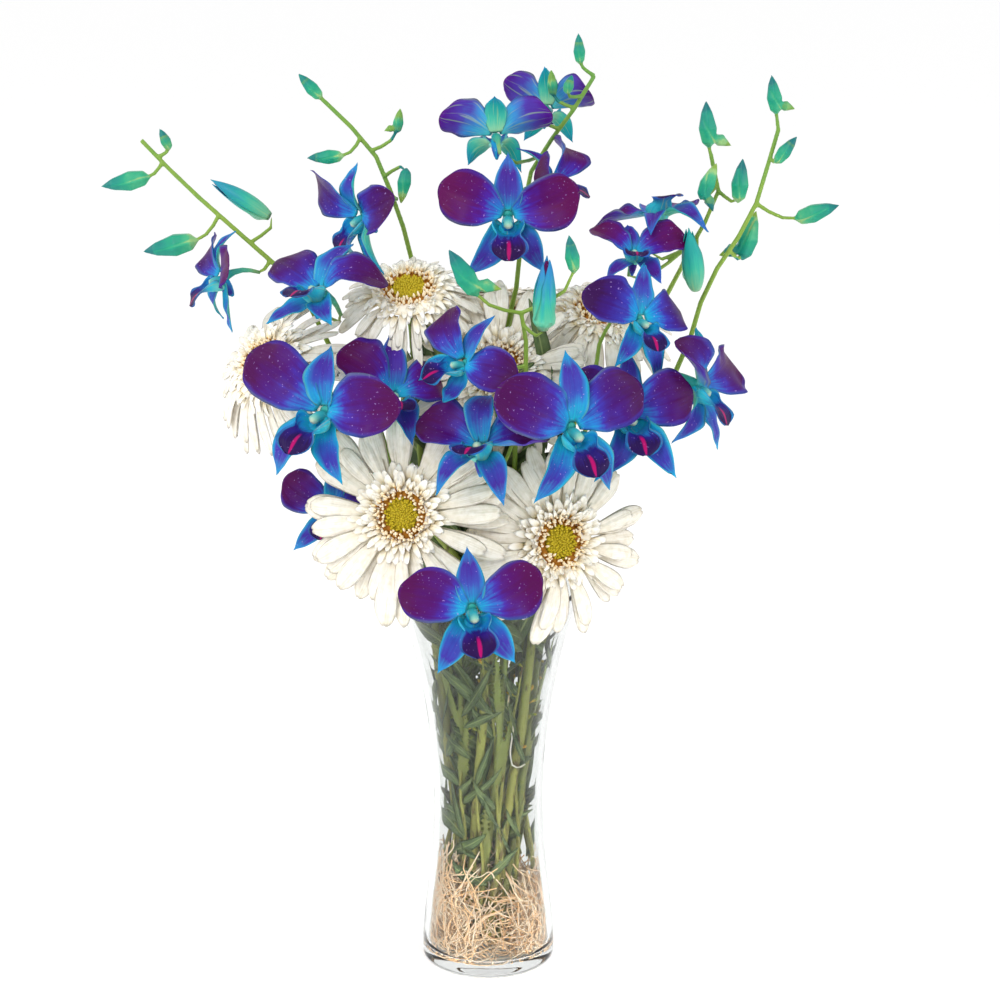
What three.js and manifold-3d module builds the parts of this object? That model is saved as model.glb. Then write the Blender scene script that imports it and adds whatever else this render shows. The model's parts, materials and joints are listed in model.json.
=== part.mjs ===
// A bouquet of white gerberas and blue-dyed dendrobium orchids, standing in a flared glass vase.
// Millimetres, +Z up, front towards -Y. The origin is the centre of the vase's foot, on the table.
import * as THREE from "three";
import { mergeVertices } from "three/addons/utils/BufferGeometryUtils.js";
import Module from "manifold-3d";

// ---- Driving dimensions ----------------------------------------------------------------------

const GAP = 0.35; // clearance between pieces that meet

// The vase: a tall tumbler with a waist and a trumpet mouth.
const VASE_HEIGHT = 200;
const FOOT_RADIUS = 34;
const WAIST_RADIUS = 28;
const WAIST_HEIGHT = 84;
const RIM_RADIUS = 47;
const WALL = 2.8;
const FLOOR = 6;
const FOOT_ROUND = 3; // the round-over under the foot
const VASE_SIDES = 32;

// The nest of dried fibre that holds the stem ends, open at the front.
const NEST_HEIGHT = 44;
const NEST_OPENING = 60; // degrees left open towards the front

// Stems. Their feet stand in two rings, and the bundle is twisted, as a florist turns it in the hand.
const GERBERA_STEM = 2.7; // radii
const SPRAY_STEM = 2.1;
const SPRAY_TIP = 1.2;
const SPRAY_STEPS = 24;
const PEDICEL = 1.0;
const TWIST = 40; // degrees between a stem's foot and its place at the waist
const MOUTH_TURN = 12; // degrees between the waist and the mouth
// A ring is as wide as its stems need to stand side by side.
const STEM_SPACE = 2 * GERBERA_STEM + 1;
const FEET = {
  outer: (13 * STEM_SPACE) / (2 * Math.PI),
  inner: (STEM_SPACE + 0.4) / Math.SQRT2,
};
const RINGS = {
  outer: { slots: 13, foot: FEET.outer, waist: FEET.outer + 3.8, mouth: 31, footHeight: FLOOR + 7 },
  inner: { slots: 4, foot: FEET.inner, waist: FEET.inner + 1.7, mouth: 13, footHeight: FLOOR + 2 },
};

// Leaves, which fill the glass between the stems and the wall. Each entry lists the heights of the
// leaf's foot and tip, as shares of the vase's, and the degrees it turns about the vase on the way.
const LEAF_WIDTH = 8;
const LEAF_THICK = 1;
const LEAVES = [[0.23, 0.49, -12], [0.44, 0.75, 12], [0.61, 0.93, -12]];

// Gerbera heads.
const DISC_RADIUS = 11;
const DISC_HEIGHT = 5;
const COLLAR_RADIUS = 24; // the short inner florets
const COLLAR_HEIGHT = 7;
const RAY_COUNT = 14;
const RAY_THICK = 1.6;
const RAY_NOTCH = 0.62; // where neighbouring rays part, as a share of the head's radius
const CUP_RADIUS = 9;
const CUP_DEPTH = 9;

// Orchid blooms, for a bloom BLOOM_WIDTH across. Each point is [side, facing, up] from the pedicel's foot.
const BLOOM_WIDTH = 68;
const BLOOM = {
  heart: [0, 25, -6],
  dorsal: { tip: [0, 28, 23], width: 14 },
  petal: { tip: [34, 29, 9], width: 25 },
  sepal: { tip: [18, 28, -31], width: 13 },
  lip: { tip: [0, 40, -22], width: 16 },
  chin: { tip: [0, 13, -17], width: 9 },
};
const TEPAL_THICK = 2.2;

// ---- The arrangement: where each flower is and which way it faces ------------------------------
// Heights here are above the vase's rim. at is the middle of a flower, a route is the points that a
// stem passes after the mouth of the vase, and a bud runs from its base to its tip.

const GERBERAS = [
  { name: "front_left", ring: "outer", slot: 9, at: [-40, -67, 55], face: [-0.25, -0.92, 0.3], radius: 53, droop: 6, hang: 4 },
  { name: "front_right", ring: "outer", slot: 11, at: [34, -57, 39], face: [0.42, -0.88, 0.2], radius: 49, droop: 8, hang: 6 },
  { name: "top_left", ring: "outer", slot: 7, at: [-38, -18, 154], face: [-0.05, -0.5, 0.86], radius: 36, droop: 14, hang: 12 },
  { name: "left", ring: "outer", slot: 6, at: [-107, -28, 120], face: [-0.55, -0.6, 0.6], radius: 42, droop: 16, hang: 18 },
  { name: "centre", ring: "inner", slot: 3, at: [6, -24, 116], face: [0.05, -0.9, 0.42], radius: 45, droop: 6, hang: 4 },
  { name: "right", ring: "inner", slot: 0, at: [56, 18, 136], face: [0.15, -0.4, 0.9], radius: 40, droop: 14, hang: 12 },
  { name: "back", ring: "outer", slot: 3, at: [8, 72, 126], face: [0, 0.6, 0.8], radius: 44, droop: 12, hang: 14 },
];

const SPRAYS = [
  {
    name: "left",
    leafy: true,
    ring: "outer",
    slot: 5,
    route: [[-78, 10, 120], [-94, 6, 152], [-118, 2, 176], [-147, 5, 202], [-168, 5, 224]],
    blooms: [
      { at: [-132, -2, 158], face: [-0.95, -0.25, 0.15], up: [0.1, 0, 1], width: 54 },
      { at: [-80, -43, 159], face: [-0.35, -0.5, 0.8], up: [0.3, 0.6, 0.6], width: 58 },
    ],
    buds: [
      { base: [-154, 5, 219], tip: [-159, 5, 230] },
      { base: [-163, 0, 207], tip: [-188, 0, 202] },
      { base: [-140, -6, 177], tip: [-168, -6, 171] },
    ],
    opening: [{ base: [-107, 14, 185], tip: [-137, 14, 198], chin: [-0.2, -0.3, -1] }],
  },
  {
    name: "left_centre",
    ring: "inner",
    slot: 2,
    route: [[-34, 24, 130], [-38, 16, 166], [-47, 10, 197], [-56, 10, 218], [-80, 10, 243]],
    blooms: [
      { at: [-62, -2, 188], face: [-0.85, -0.5, -0.1], up: [0.1, 0, 1], width: 56 },
    ],
    buds: [
      { base: [-80, 10, 243], tip: [-92, 10, 256] },
      { base: [-44, 5, 227], tip: [-42, 5, 240], chin: [-1, 0, 0] },
      { base: [-69, 0, 217], tip: [-88, 0, 216] },
      { base: [-39, -2, 212], tip: [-42, -6, 194] },
    ],
    opening: [],
  },
  {
    name: "top",
    ring: "inner",
    slot: 1,
    route: [[2, 30, 96], [14, 17, 148], [20, 23, 202], [28, 22, 217], [45, 15, 242], [52, 15, 254]],
    blooms: [
      { at: [4, 4, 227], face: [-0.1, 0.85, 0.5], up: [0, -0.3, 1], width: 54 },
      { at: [30, 34, 236], face: [0.3, 0.85, 0.3], up: [0, -0.2, 1], width: 48 },
      { at: [33, 0, 204], face: [0.8, -0.2, 0.5], up: [-0.4, 0, 0.9], width: 50 },
      { at: [10, -24, 191], face: [0.02, -1, 0.1], up: [0, 0, 1], width: 68 },
    ],
    buds: [
      { base: [45, 15, 259], tip: [44, 15, 275] },
      { base: [32, 20, 243], tip: [31, 20, 257] },
      { base: [38, 6, 246], tip: [41, 5, 256] },
    ],
    opening: [],
  },
  {
    name: "centre",
    leafy: true,
    ring: "outer",
    slot: 10,
    route: [[13, -34, 62], [14, -44, 93], [18, -58, 118], [18, -60, 143], [16, -62, 152]],
    blooms: [
      { at: [-14, -78, 132], face: [-0.65, -0.6, 0.45], up: [0.5, -0.2, 0.85], width: 60 },
      { at: [-3, -88, 94], face: [-0.2, -0.5, 0.8], up: [0.2, 0.8, 0.5], width: 62 },
      { at: [-6.5, -101, 18], face: [0.16, -1, 0.12], up: [-0.06, 0, 1], width: 68 },
    ],
    buds: [
      { base: [-4, -70, 161], tip: [-18, -70, 184], chin: [1, 0, 0.1] },
      { base: [41, -65, 171], tip: [38, -65, 190] },
    ],
    opening: [{ base: [26, -74, 146], tip: [31, -76, 180], chin: [1, 0, 0] }],
  },
  {
    name: "right",
    leafy: true,
    ring: "outer",
    slot: 0,
    route: [[96, 2, 116], [106, 2, 148], [115, 2, 166], [128, 2, 186], [135, 5, 207], [141, 5, 229]],
    blooms: [{ at: [102, -30, 110], face: [0.85, -0.5, 0.1], up: [0.1, 0.2, 1], width: 58 }],
    buds: [
      { base: [140, 5, 236], tip: [137, 5, 256], chin: [1, 0, 0.1] },
      { base: [139, 0, 213], tip: [150, 0, 227] },
      { base: [149, 0, 186], tip: [171, -5, 194] },
      { base: [125, 8, 164], tip: [132, 12, 189], chin: [-1, 0, 0] },
    ],
    opening: [],
  },
  {
    name: "right_centre",
    ring: "outer",
    slot: 1,
    route: [[66, 42, 96], [94, 40, 148], [104, 14, 178], [113, 12, 192], [109, 10, 216]],
    blooms: [
      { at: [82, -2, 190], face: [0, -0.1, 1], up: [-0.4, 0.9, 0], width: 58 },
      { at: [70, -28, 174], face: [0.1, -0.5, 0.85], up: [0, 0.9, 0.4], width: 46 },
    ],
    buds: [
      { base: [108, 10, 219], tip: [106, 10, 243], chin: [1, 0, -0.1] },
      { base: [103, -5, 196], tip: [111, -5, 215], chin: [0.6, 0, -0.8] },
      { base: [122, 4, 193], tip: [124, 3, 216] },
    ],
    opening: [{ base: [101, -14, 154], tip: [99, -18, 188], chin: [1, 0, 0.2] }],
  },
  {
    name: "front_left",
    leafy: true,
    ring: "outer",
    slot: 8,
    route: [[-40, -14, 44], [-52, -24, 86]],
    blooms: [
      { at: [-76, -72, 107], face: [-0.5, -0.8, 0.3], up: [0.2, 0.1, 1], width: 66 },
      { at: [-46, -46, 108], face: [0.3, -0.6, 0.7], up: [0, 0.7, 0.7], width: 56 },
      { at: [-76, -30, 48], face: [-0.3, -0.9, 0.3], up: [0, 0, 1], width: 54 },
    ],
    buds: [],
    opening: [],
  },
  {
    name: "front_right",
    leafy: true,
    ring: "outer",
    slot: 12,
    route: [[38, -30, 56], [48, -32, 90], [54, -28, 130]],
    blooms: [
      { at: [39, -84, 102], face: [0.45, -0.85, 0.2], up: [0, 0, 1], width: 66 },
      { at: [66, -56, 102], face: [0.4, -0.85, 0.3], up: [0, 0.2, 1], width: 62 },
      { at: [74, -54, 147], face: [0.5, -0.8, 0.3], up: [0, 0.3, 0.9], width: 60 },
    ],
    buds: [],
    opening: [],
  },
];

// Green stems that only fill the glass; their tops end under the flowers.
const FILLERS = [
  { name: "left", leafy: true, ring: "outer", slot: 4, route: [[-34, 28, 40], [-44, 34, 72]] },
  { name: "right", leafy: true, ring: "outer", slot: 2, route: [[34, 40, 40], [46, 54, 76]] },
];

// ---- Helpers -----------------------------------------------------------------------------------

const wasm = await Module();
wasm.setup();

const vec = (p) => new THREE.Vector3(...p);
const aboveRim = ([x, y, z]) => new THREE.Vector3(x, y, VASE_HEIGHT + z);
const radians = THREE.MathUtils.degToRad;
const polar = (radius, degrees, z) =>
  new THREE.Vector3(radius * Math.cos(radians(degrees)), radius * Math.sin(radians(degrees)), z);

const bouquet = new THREE.Group();

function addPiece(name, geometry, material) {
  const mesh = new THREE.Mesh(geometry, material);
  mesh.name = name;
  bouquet.add(mesh);
  return mesh;
}

// A closed three.js geometry as a solid that can be joined or cut.
function solid(geometry) {
  const bare = new THREE.BufferGeometry();
  bare.setAttribute("position", geometry.getAttribute("position"));
  bare.setIndex(geometry.getIndex());
  const merged = mergeVertices(bare, 1e-4);
  return new wasm.Manifold(
    new wasm.Mesh({
      numProp: 3,
      vertProperties: merged.attributes.position.array,
      triVerts: new Uint32Array(merged.index.array),
    }),
  );
}

function geometryOf(manifold) {
  const mesh = manifold.getMesh();
  const geometry = new THREE.BufferGeometry();
  geometry.setAttribute("position", new THREE.BufferAttribute(mesh.vertProperties, 3));
  geometry.setIndex(new THREE.BufferAttribute(mesh.triVerts, 1));
  return geometry;
}

const join = (geometries) => geometryOf(geometries.map(solid).reduce((whole, next) => whole.add(next)));

// A round rod along a curve, thinning from one radius to the other.
function rod(curve, startRadius, endRadius, sides, steps) {
  const section = new THREE.Shape(
    Array.from({ length: sides }, (_, i) => {
      const angle = (i / sides) * 2 * Math.PI;
      return new THREE.Vector2(Math.cos(angle), Math.sin(angle));
    }),
  );
  const geometry = new THREE.ExtrudeGeometry(section, { steps, bevelEnabled: false, extrudePath: curve });
  const centres = curve.getSpacedPoints(steps);
  const place = geometry.getAttribute("position");
  const point = new THREE.Vector3();
  for (let i = 0; i < place.count; i++) {
    point.fromBufferAttribute(place, i);
    const ring = centres.reduce((best, c, k) => (c.distanceTo(point) < centres[best].distanceTo(point) ? k : best), 0);
    const radius = THREE.MathUtils.lerp(startRadius, endRadius, ring / steps);
    point.sub(centres[ring]).multiplyScalar(radius).add(centres[ring]);
    place.setXYZ(i, point.x, point.y, point.z);
  }
  return geometry;
}

// A spindle from one point to another: outline lists [share of the length, share of the width].
// flat is its thickness as a share of its width, and facing the side that the flat turns to.
function spindle(from, to, width, outline, { sides = 4, flat = 1, facing = new THREE.Vector3(0, 1, 0) } = {}) {
  const along = to.clone().sub(from);
  const length = along.length();
  const profile = [[0, 0], ...outline, [1, 0]].map(
    ([t, w]) => new THREE.Vector2((w * width) / 2, t * length),
  );
  const geometry = new THREE.LatheGeometry(profile, sides);
  const y = along.normalize();
  const z = facing.clone().addScaledVector(y, -facing.dot(y)).normalize();
  const x = y.clone().cross(z);
  geometry.scale(1, 1, flat);
  geometry.applyMatrix4(new THREE.Matrix4().makeBasis(x, y, z).setPosition(from));
  return geometry;
}

// ---- The vase ----------------------------------------------------------------------------------

function wallRadius(z) {
  if (z < WAIST_HEIGHT) {
    const below = (WAIST_HEIGHT - z) / WAIST_HEIGHT;
    return WAIST_RADIUS + (FOOT_RADIUS - WAIST_RADIUS) * Math.sin((below * Math.PI) / 2) ** 2;
  }
  const above = (z - WAIST_HEIGHT) / (VASE_HEIGHT - WAIST_HEIGHT);
  return WAIST_RADIUS + (RIM_RADIUS - WAIST_RADIUS) * above ** 2;
}

const heights = (from, to, count) =>
  Array.from({ length: count + 1 }, (_, i) => THREE.MathUtils.lerp(from, to, i / count));

function vaseGeometry() {
  const rim = VASE_HEIGHT - WALL / 2;
  const outside = heights(FOOT_ROUND, rim, 8).map((z) => new THREE.Vector2(wallRadius(z), z));
  const inside = heights(rim, FLOOR + FOOT_ROUND, 6).map((z) => new THREE.Vector2(wallRadius(z) - WALL, z));
  return new THREE.LatheGeometry(
    [
      new THREE.Vector2(0, 0),
      new THREE.Vector2(wallRadius(0) - FOOT_ROUND, 0),
      ...outside,
      new THREE.Vector2(wallRadius(rim) - WALL / 2, VASE_HEIGHT),
      ...inside,
      new THREE.Vector2(wallRadius(FLOOR) - WALL - FOOT_ROUND, FLOOR),
      new THREE.Vector2(0, FLOOR),
    ],
    VASE_SIDES,
  ).rotateX(Math.PI / 2);
}

// ---- The fibre nest ----------------------------------------------------------------------------

// A C in plan, swept up the inside of the wall, and open at the front where the stem ends show.
function nestGeometry() {
  const low = FLOOR + GAP;
  const hole = RINGS.outer.waist + 1;
  const front = -Math.PI / 2;
  const half = radians(NEST_OPENING / 2);
  const turns = Array.from({ length: 17 }, (_, i) => front + half + (i / 16) * (2 * Math.PI - 2 * half));
  const arc = (radius) => turns.map((a) => new THREE.Vector2(radius * Math.cos(a), radius * Math.sin(a)));
  const outline = new THREE.Shape([...arc(1), ...arc(0.5).reverse()]);
  const geometry = new THREE.ExtrudeGeometry(outline, { steps: 3, depth: NEST_HEIGHT, bevelEnabled: false });
  const place = geometry.getAttribute("position");
  for (let i = 0; i < place.count; i++) {
    const [x, y, z] = [place.getX(i), place.getY(i), place.getZ(i) + low];
    const corner = z === low ? FOOT_ROUND : 0;
    const onWall = Math.hypot(x, y) > 0.75;
    const scale = onWall ? wallRadius(z) - WALL - corner - 4 * GAP : 2 * hole;
    place.setXYZ(i, x * scale, y * scale, z);
  }
  return geometry;
}

// ---- Stems -------------------------------------------------------------------------------------

// The part of a stem's route that stands in the vase: foot, waist and mouth.
function standing({ ring, slot }) {
  const { slots, foot, waist, mouth, footHeight } = RINGS[ring];
  const at = (slot * 360) / slots;
  return [
    polar(foot, at - TWIST, footHeight),
    polar(waist, at, WAIST_HEIGHT),
    polar(mouth, at + MOUTH_TURN, VASE_HEIGHT),
  ];
}

const routeThrough = (points) => new THREE.CatmullRomCurve3(points, false, "centripetal");

function nearestOn(curve, steps, point) {
  const points = curve.getSpacedPoints(steps);
  const feet = points.slice(1).map((end, i) =>
    new THREE.Line3(points[i], end).closestPointToPoint(point, true, new THREE.Vector3()),
  );
  return feet.reduce((best, foot) => (foot.distanceTo(point) < best.distanceTo(point) ? foot : best));
}

// A short stalk that leaves the main stem and arrives at a point, travelling along a direction.
function stalk(stem, end, heading) {
  const start = nearestOn(stem, SPRAY_STEPS, end);
  const reach = start.distanceTo(end) * 0.35;
  const bend = end.clone().addScaledVector(heading, -reach);
  return rod(new THREE.QuadraticBezierCurve3(start, bend, end), PEDICEL * 1.2, PEDICEL, 5, 3);
}

// The leaves of one stem. A leaf leaves its stem and lies up against the inside of the wall.
function leavesOn({ leafy }, stem) {
  if (!leafy) {
    return [];
  }
  const points = stem.getSpacedPoints(400);
  const atHeight = (z) => points.find((p) => p.z > z);
  return LEAVES.map(([from, to, turn]) => {
    const high = to * VASE_HEIGHT;
    const foot = atHeight(from * VASE_HEIGHT);
    const under = atHeight(high);
    const bearing = THREE.MathUtils.radToDeg(Math.atan2(under.y, under.x)) + turn;
    const tip = polar(wallRadius(high) - WALL - 2 * LEAF_THICK, bearing, high);
    const outward = polar(1, bearing, 0);
    return spindle(foot, tip, LEAF_WIDTH, [[0.35, 1], [0.75, 0.7]], {
      flat: LEAF_THICK / LEAF_WIDTH,
      facing: outward,
    });
  });
}

// ---- Gerberas ----------------------------------------------------------------------------------

// A ring of rays about +Z: one closed profile turned round, then drawn in at every third division
// to part the rays. The tips fall back by droop, and by hang more where they point downhill.
function raysGeometry({ radius, droop, hang }, downhill) {
  const hole = DISC_RADIUS + GAP;
  const profile = [
    [hole, 0], [radius * RAY_NOTCH, 0], [radius, 0.6], [radius * RAY_NOTCH, RAY_THICK],
    [COLLAR_RADIUS, COLLAR_HEIGHT], [hole, COLLAR_HEIGHT - 2], [hole, 0],
  ].map(([r, z]) => new THREE.Vector2(r, z));
  const divisions = 3 * RAY_COUNT;
  const geometry = new THREE.LatheGeometry(profile, divisions).rotateX(Math.PI / 2);
  const place = geometry.getAttribute("position");
  for (let i = 0; i < place.count; i++) {
    const [x, y, z] = [place.getX(i), place.getY(i), place.getZ(i)];
    const reach = Math.hypot(x, y);
    const division = Math.round((Math.atan2(x, -y) / (2 * Math.PI)) * divisions);
    const keep = division % 3 === 0 && reach > 0.95 * radius ? RAY_NOTCH + 0.08 : 1;
    const out = (reach * keep) / radius;
    const fall = (droop + hang * Math.max(0, (x * downhill.x + y * downhill.y) / reach)) * out ** 2;
    place.setXYZ(i, x * keep, y * keep, z - fall);
  }
  return geometry;
}

function discGeometry() {
  const profile = [
    [0, -1], [DISC_RADIUS, -1], [DISC_RADIUS, COLLAR_HEIGHT - 3],
    [DISC_RADIUS * 0.75, DISC_HEIGHT], [DISC_RADIUS * 0.3, DISC_HEIGHT - 1], [0, DISC_HEIGHT - 1.5],
  ].map(([r, z]) => new THREE.Vector2(r, z));
  return new THREE.LatheGeometry(profile, 12).rotateX(Math.PI / 2);
}

function addGerbera(gerbera, petal, floret, green) {
  const { name, at } = gerbera;
  const face = vec(gerbera.face).normalize();
  const centre = aboveRim(at);
  const turned = new THREE.Quaternion().setFromUnitVectors(new THREE.Vector3(0, 0, 1), face);
  const downhill = new THREE.Vector3(0, 0, -1).applyQuaternion(turned.clone().invert());
  const rays = addPiece(`gerbera_${name}_rays`, raysGeometry(gerbera, downhill), petal);
  const disc = addPiece(`gerbera_${name}_disc`, discGeometry(), floret);
  for (const piece of [rays, disc]) {
    piece.position.copy(centre);
    piece.quaternion.copy(turned);
  }
  const behind = (distance) => centre.clone().addScaledVector(face, -distance);
  const cupTop = 1 + GAP;
  const route = routeThrough([
    ...standing(gerbera),
    behind(38),
    behind(cupTop + CUP_DEPTH * 0.6),
  ]);
  const cup = spindle(behind(cupTop + CUP_DEPTH + 3), behind(cupTop), 2 * CUP_RADIUS, [[0.3, 0.45], [0.7, 0.9], [1, 1]], { sides: 10 });
  addPiece(`gerbera_${name}_stem`, join([rod(route, GERBERA_STEM, GERBERA_STEM * 0.85, 7, 16), cup]), green);
}

// ---- Orchids -----------------------------------------------------------------------------------

// The frame of a bloom: its origin is the foot of its pedicel, +Y the way it faces, +Z up its dorsal sepal.
function bloomPlace({ at, face, up, width }) {
  const y = vec(face).normalize();
  const z = vec(up).addScaledVector(y, -vec(up).dot(y)).normalize();
  const x = y.clone().cross(z);
  const scale = width / BLOOM_WIDTH;
  const place = new THREE.Matrix4().makeBasis(x, y, z).scale(new THREE.Vector3(scale, scale, scale));
  const heart = vec(BLOOM.heart).applyMatrix4(place);
  return place.setPosition(aboveRim(at).sub(heart));
}

function bloomGeometry() {
  const heart = vec(BLOOM.heart);
  const mirrored = ([x, y, z]) => [-x, y, z];
  const broad = [[0.3, 0.75], [0.7, 1]];
  const pointed = [[0.5, 1]];
  const tepal = ({ width }, tip, outline) =>
    spindle(heart, vec(tip), width, outline, { flat: TEPAL_THICK / width });
  const { dorsal, petal, sepal, lip, chin } = BLOOM;
  return join([
    tepal(dorsal, dorsal.tip, pointed),
    tepal(petal, petal.tip, broad),
    tepal(petal, mirrored(petal.tip), broad),
    tepal(sepal, sepal.tip, pointed),
    tepal(sepal, mirrored(sepal.tip), pointed),
    spindle(heart.clone().add(new THREE.Vector3(0, -3, 2)), vec(lip.tip), lip.width, [[0.35, 0.7], [0.8, 0.9]], {
      flat: 0.35,
      facing: new THREE.Vector3(0, 1, 1),
    }),
    spindle(new THREE.Vector3(0, 0, 0), heart.clone().add(new THREE.Vector3(0, 3, 0)), 10, [[0.01, 0.2], [0.55, 0.3], [0.85, 0.9]], { sides: 5 }),
    spindle(heart.clone().add(new THREE.Vector3(0, 2, 3)), vec(chin.tip), chin.width, [[0.5, 1]], { sides: 4 }),
  ]);
}

const PLUMP = [[0.14, 0.75], [0.42, 1], [0.75, 0.6]];

// A closed bud: a pointed spindle, with its chin pushed out to one side at the foot.
function budSolids({ base, tip, chin }) {
  const [from, to] = [aboveRim(base), aboveRim(tip)];
  const length = from.distanceTo(to);
  const width = THREE.MathUtils.clamp(length * 0.42, 6, 12);
  const parts = [spindle(from, to, width, PLUMP, { sides: 6 })];
  if (chin) {
    const root = from.clone().lerp(to, 0.3);
    const point = from.clone().lerp(to, 0.1).addScaledVector(vec(chin).normalize(), width * 1.15);
    parts.push(spindle(root, point, width * 0.7, [[0.5, 1]], { sides: 5 }));
  }
  return parts;
}

// A bud that has begun to open: a plump body and chin, with its tips parting.
function openingGeometry({ base, tip, chin }) {
  const [from, to] = [aboveRim(base), aboveRim(tip)];
  const axis = to.clone().sub(from);
  const length = axis.length();
  const side = vec(chin).normalize();
  const across = axis.clone().normalize().cross(side).normalize();
  const body = from.clone().lerp(to, 0.75);
  const flare = (sideways, out) => to.clone().addScaledVector(across, sideways).addScaledVector(side, out);
  return join([
    spindle(from, body, length * 0.42, PLUMP, { sides: 6 }),
    ...[flare(length * 0.2, -3), flare(-length * 0.2, -3), flare(0, -length * 0.16)].map((point) =>
      spindle(from.clone().lerp(to, 0.25), point, length * 0.3, [[0.4, 1], [0.75, 0.7]], { flat: 0.4, facing: side }),
    ),
    spindle(from.clone().lerp(to, 0.4), from.clone().addScaledVector(side, length * 0.16), length * 0.24, [[0.5, 1]], { sides: 5 }),
  ]);
}

function addSpray(spray, petal, green) {
  const { name, route, blooms, buds, opening } = spray;
  const stem = routeThrough([...standing(spray), ...route.map(aboveRim)]);
  const parts = [rod(stem, SPRAY_STEM, SPRAY_TIP, 6, SPRAY_STEPS), ...leavesOn(spray, stem)];
  blooms.forEach((bloom, i) => {
    const place = bloomPlace(bloom);
    const foot = new THREE.Vector3(0, -GAP, 0).applyMatrix4(place);
    const heading = vec(bloom.face).normalize();
    parts.push(stalk(stem, foot, heading));
    addPiece(`orchid_${name}_bloom_${i + 1}`, bloomGeometry().applyMatrix4(place), petal);
  });
  opening.forEach((bud) => {
    const heading = vec(bud.tip).sub(vec(bud.base)).normalize();
    parts.push(stalk(stem, aboveRim(bud.base).addScaledVector(heading, -2 * GAP), heading));
    addPiece(`orchid_${name}_opening_bud`, openingGeometry(bud), petal);
  });
  buds.forEach((bud) => {
    const heading = vec(bud.tip).sub(vec(bud.base)).normalize();
    parts.push(stalk(stem, aboveRim(bud.base).addScaledVector(heading, 2), heading), ...budSolids(bud));
  });
  addPiece(`orchid_${name}_stem`, join(parts), green);
}

// ---- Fillers -----------------------------------------------------------------------------------

function addFiller(filler, green) {
  const stem = routeThrough([...standing(filler), ...filler.route.map(aboveRim)]);
  const crown = [[-14, 4, 16], [12, -6, 22], [2, 12, 26]].map((offset) => {
    const foot = stem.getPoint(1);
    return spindle(foot.clone().lerp(stem.getPoint(0.93), 0.5), foot.clone().add(vec(offset)), LEAF_WIDTH, [[0.4, 1]], {
      flat: LEAF_THICK / LEAF_WIDTH,
    });
  });
  addPiece(`leafy_stem_${filler.name}`, join([rod(stem, SPRAY_STEM, SPRAY_TIP, 6, 16), ...leavesOn(filler, stem), ...crown]), green);
}

// ---- The whole bouquet -------------------------------------------------------------------------

const glass = new THREE.MeshStandardMaterial({ color: 0xdfe9e6, roughness: 0.05, transparent: true, opacity: 0.35 });
const fibre = new THREE.MeshStandardMaterial({ color: 0xe3cda8, roughness: 0.9 });
const whitePetal = new THREE.MeshStandardMaterial({ color: 0xf6f1e4, roughness: 0.6 });
const yellowFloret = new THREE.MeshStandardMaterial({ color: 0xc9a91c, roughness: 0.8 });
const stemGreen = new THREE.MeshStandardMaterial({ color: 0x7d9440, roughness: 0.6 });
const leafGreen = new THREE.MeshStandardMaterial({ color: 0x5f6f45, roughness: 0.7 });
const bluePetal = new THREE.MeshStandardMaterial({ color: 0x3b2a9e, roughness: 0.5 });

addPiece("vase", vaseGeometry(), glass);
addPiece("fibre_nest", nestGeometry(), fibre);
GERBERAS.forEach((gerbera) => addGerbera(gerbera, whitePetal, yellowFloret, stemGreen));
SPRAYS.forEach((spray) => addSpray(spray, bluePetal, stemGreen));
FILLERS.forEach((filler) => addFiller(filler, leafGreen));

export default bouquet;
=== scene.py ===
# %% [markdown]
# # White gerberas and blue-dyed orchids in a glass vase
#
# A florist's bouquet is a few kinds of piece, each repeated with small differences: gerbera heads,
# orchid blooms, buds on their sprays, leaves and dried fibre. Every kind is made once, as a rule
# with sizes, and then grown at each place that the fixed frame gives. The frame's own meshes say
# where a flower is, which way it faces and how big it is, so nothing here is placed by eye.

# %% Load the fixed frame
import json
import math

import bmesh
import bpy
import numpy as np
from mathutils import Matrix, Vector
from mathutils.bvhtree import BVHTree

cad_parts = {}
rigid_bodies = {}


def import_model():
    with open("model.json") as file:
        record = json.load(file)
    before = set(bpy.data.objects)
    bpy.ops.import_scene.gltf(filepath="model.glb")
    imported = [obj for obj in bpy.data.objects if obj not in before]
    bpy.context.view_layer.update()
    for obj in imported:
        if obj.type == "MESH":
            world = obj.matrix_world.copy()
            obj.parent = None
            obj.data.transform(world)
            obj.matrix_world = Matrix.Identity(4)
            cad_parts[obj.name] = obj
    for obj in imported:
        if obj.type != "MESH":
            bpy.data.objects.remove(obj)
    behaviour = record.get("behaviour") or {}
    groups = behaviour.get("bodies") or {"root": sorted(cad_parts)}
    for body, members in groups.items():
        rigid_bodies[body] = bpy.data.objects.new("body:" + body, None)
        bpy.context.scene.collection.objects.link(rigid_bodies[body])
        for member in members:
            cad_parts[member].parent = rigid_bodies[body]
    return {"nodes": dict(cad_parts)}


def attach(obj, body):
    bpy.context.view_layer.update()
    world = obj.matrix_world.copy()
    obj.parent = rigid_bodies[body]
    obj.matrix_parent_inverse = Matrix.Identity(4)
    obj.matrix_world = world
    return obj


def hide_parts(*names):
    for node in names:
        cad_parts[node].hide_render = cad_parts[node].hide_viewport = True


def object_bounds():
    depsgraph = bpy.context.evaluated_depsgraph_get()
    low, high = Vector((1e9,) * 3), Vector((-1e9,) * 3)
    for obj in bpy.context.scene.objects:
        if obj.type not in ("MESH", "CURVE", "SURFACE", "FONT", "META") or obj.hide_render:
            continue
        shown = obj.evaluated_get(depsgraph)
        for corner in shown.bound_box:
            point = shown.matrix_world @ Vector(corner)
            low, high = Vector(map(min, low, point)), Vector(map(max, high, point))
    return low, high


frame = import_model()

cad_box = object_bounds()
cad_nodes = frame["nodes"]
MM = 0.001
print("frame:", len(cad_nodes), "pieces, top at", round(cad_box[1][2] / MM), "mm")

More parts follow.
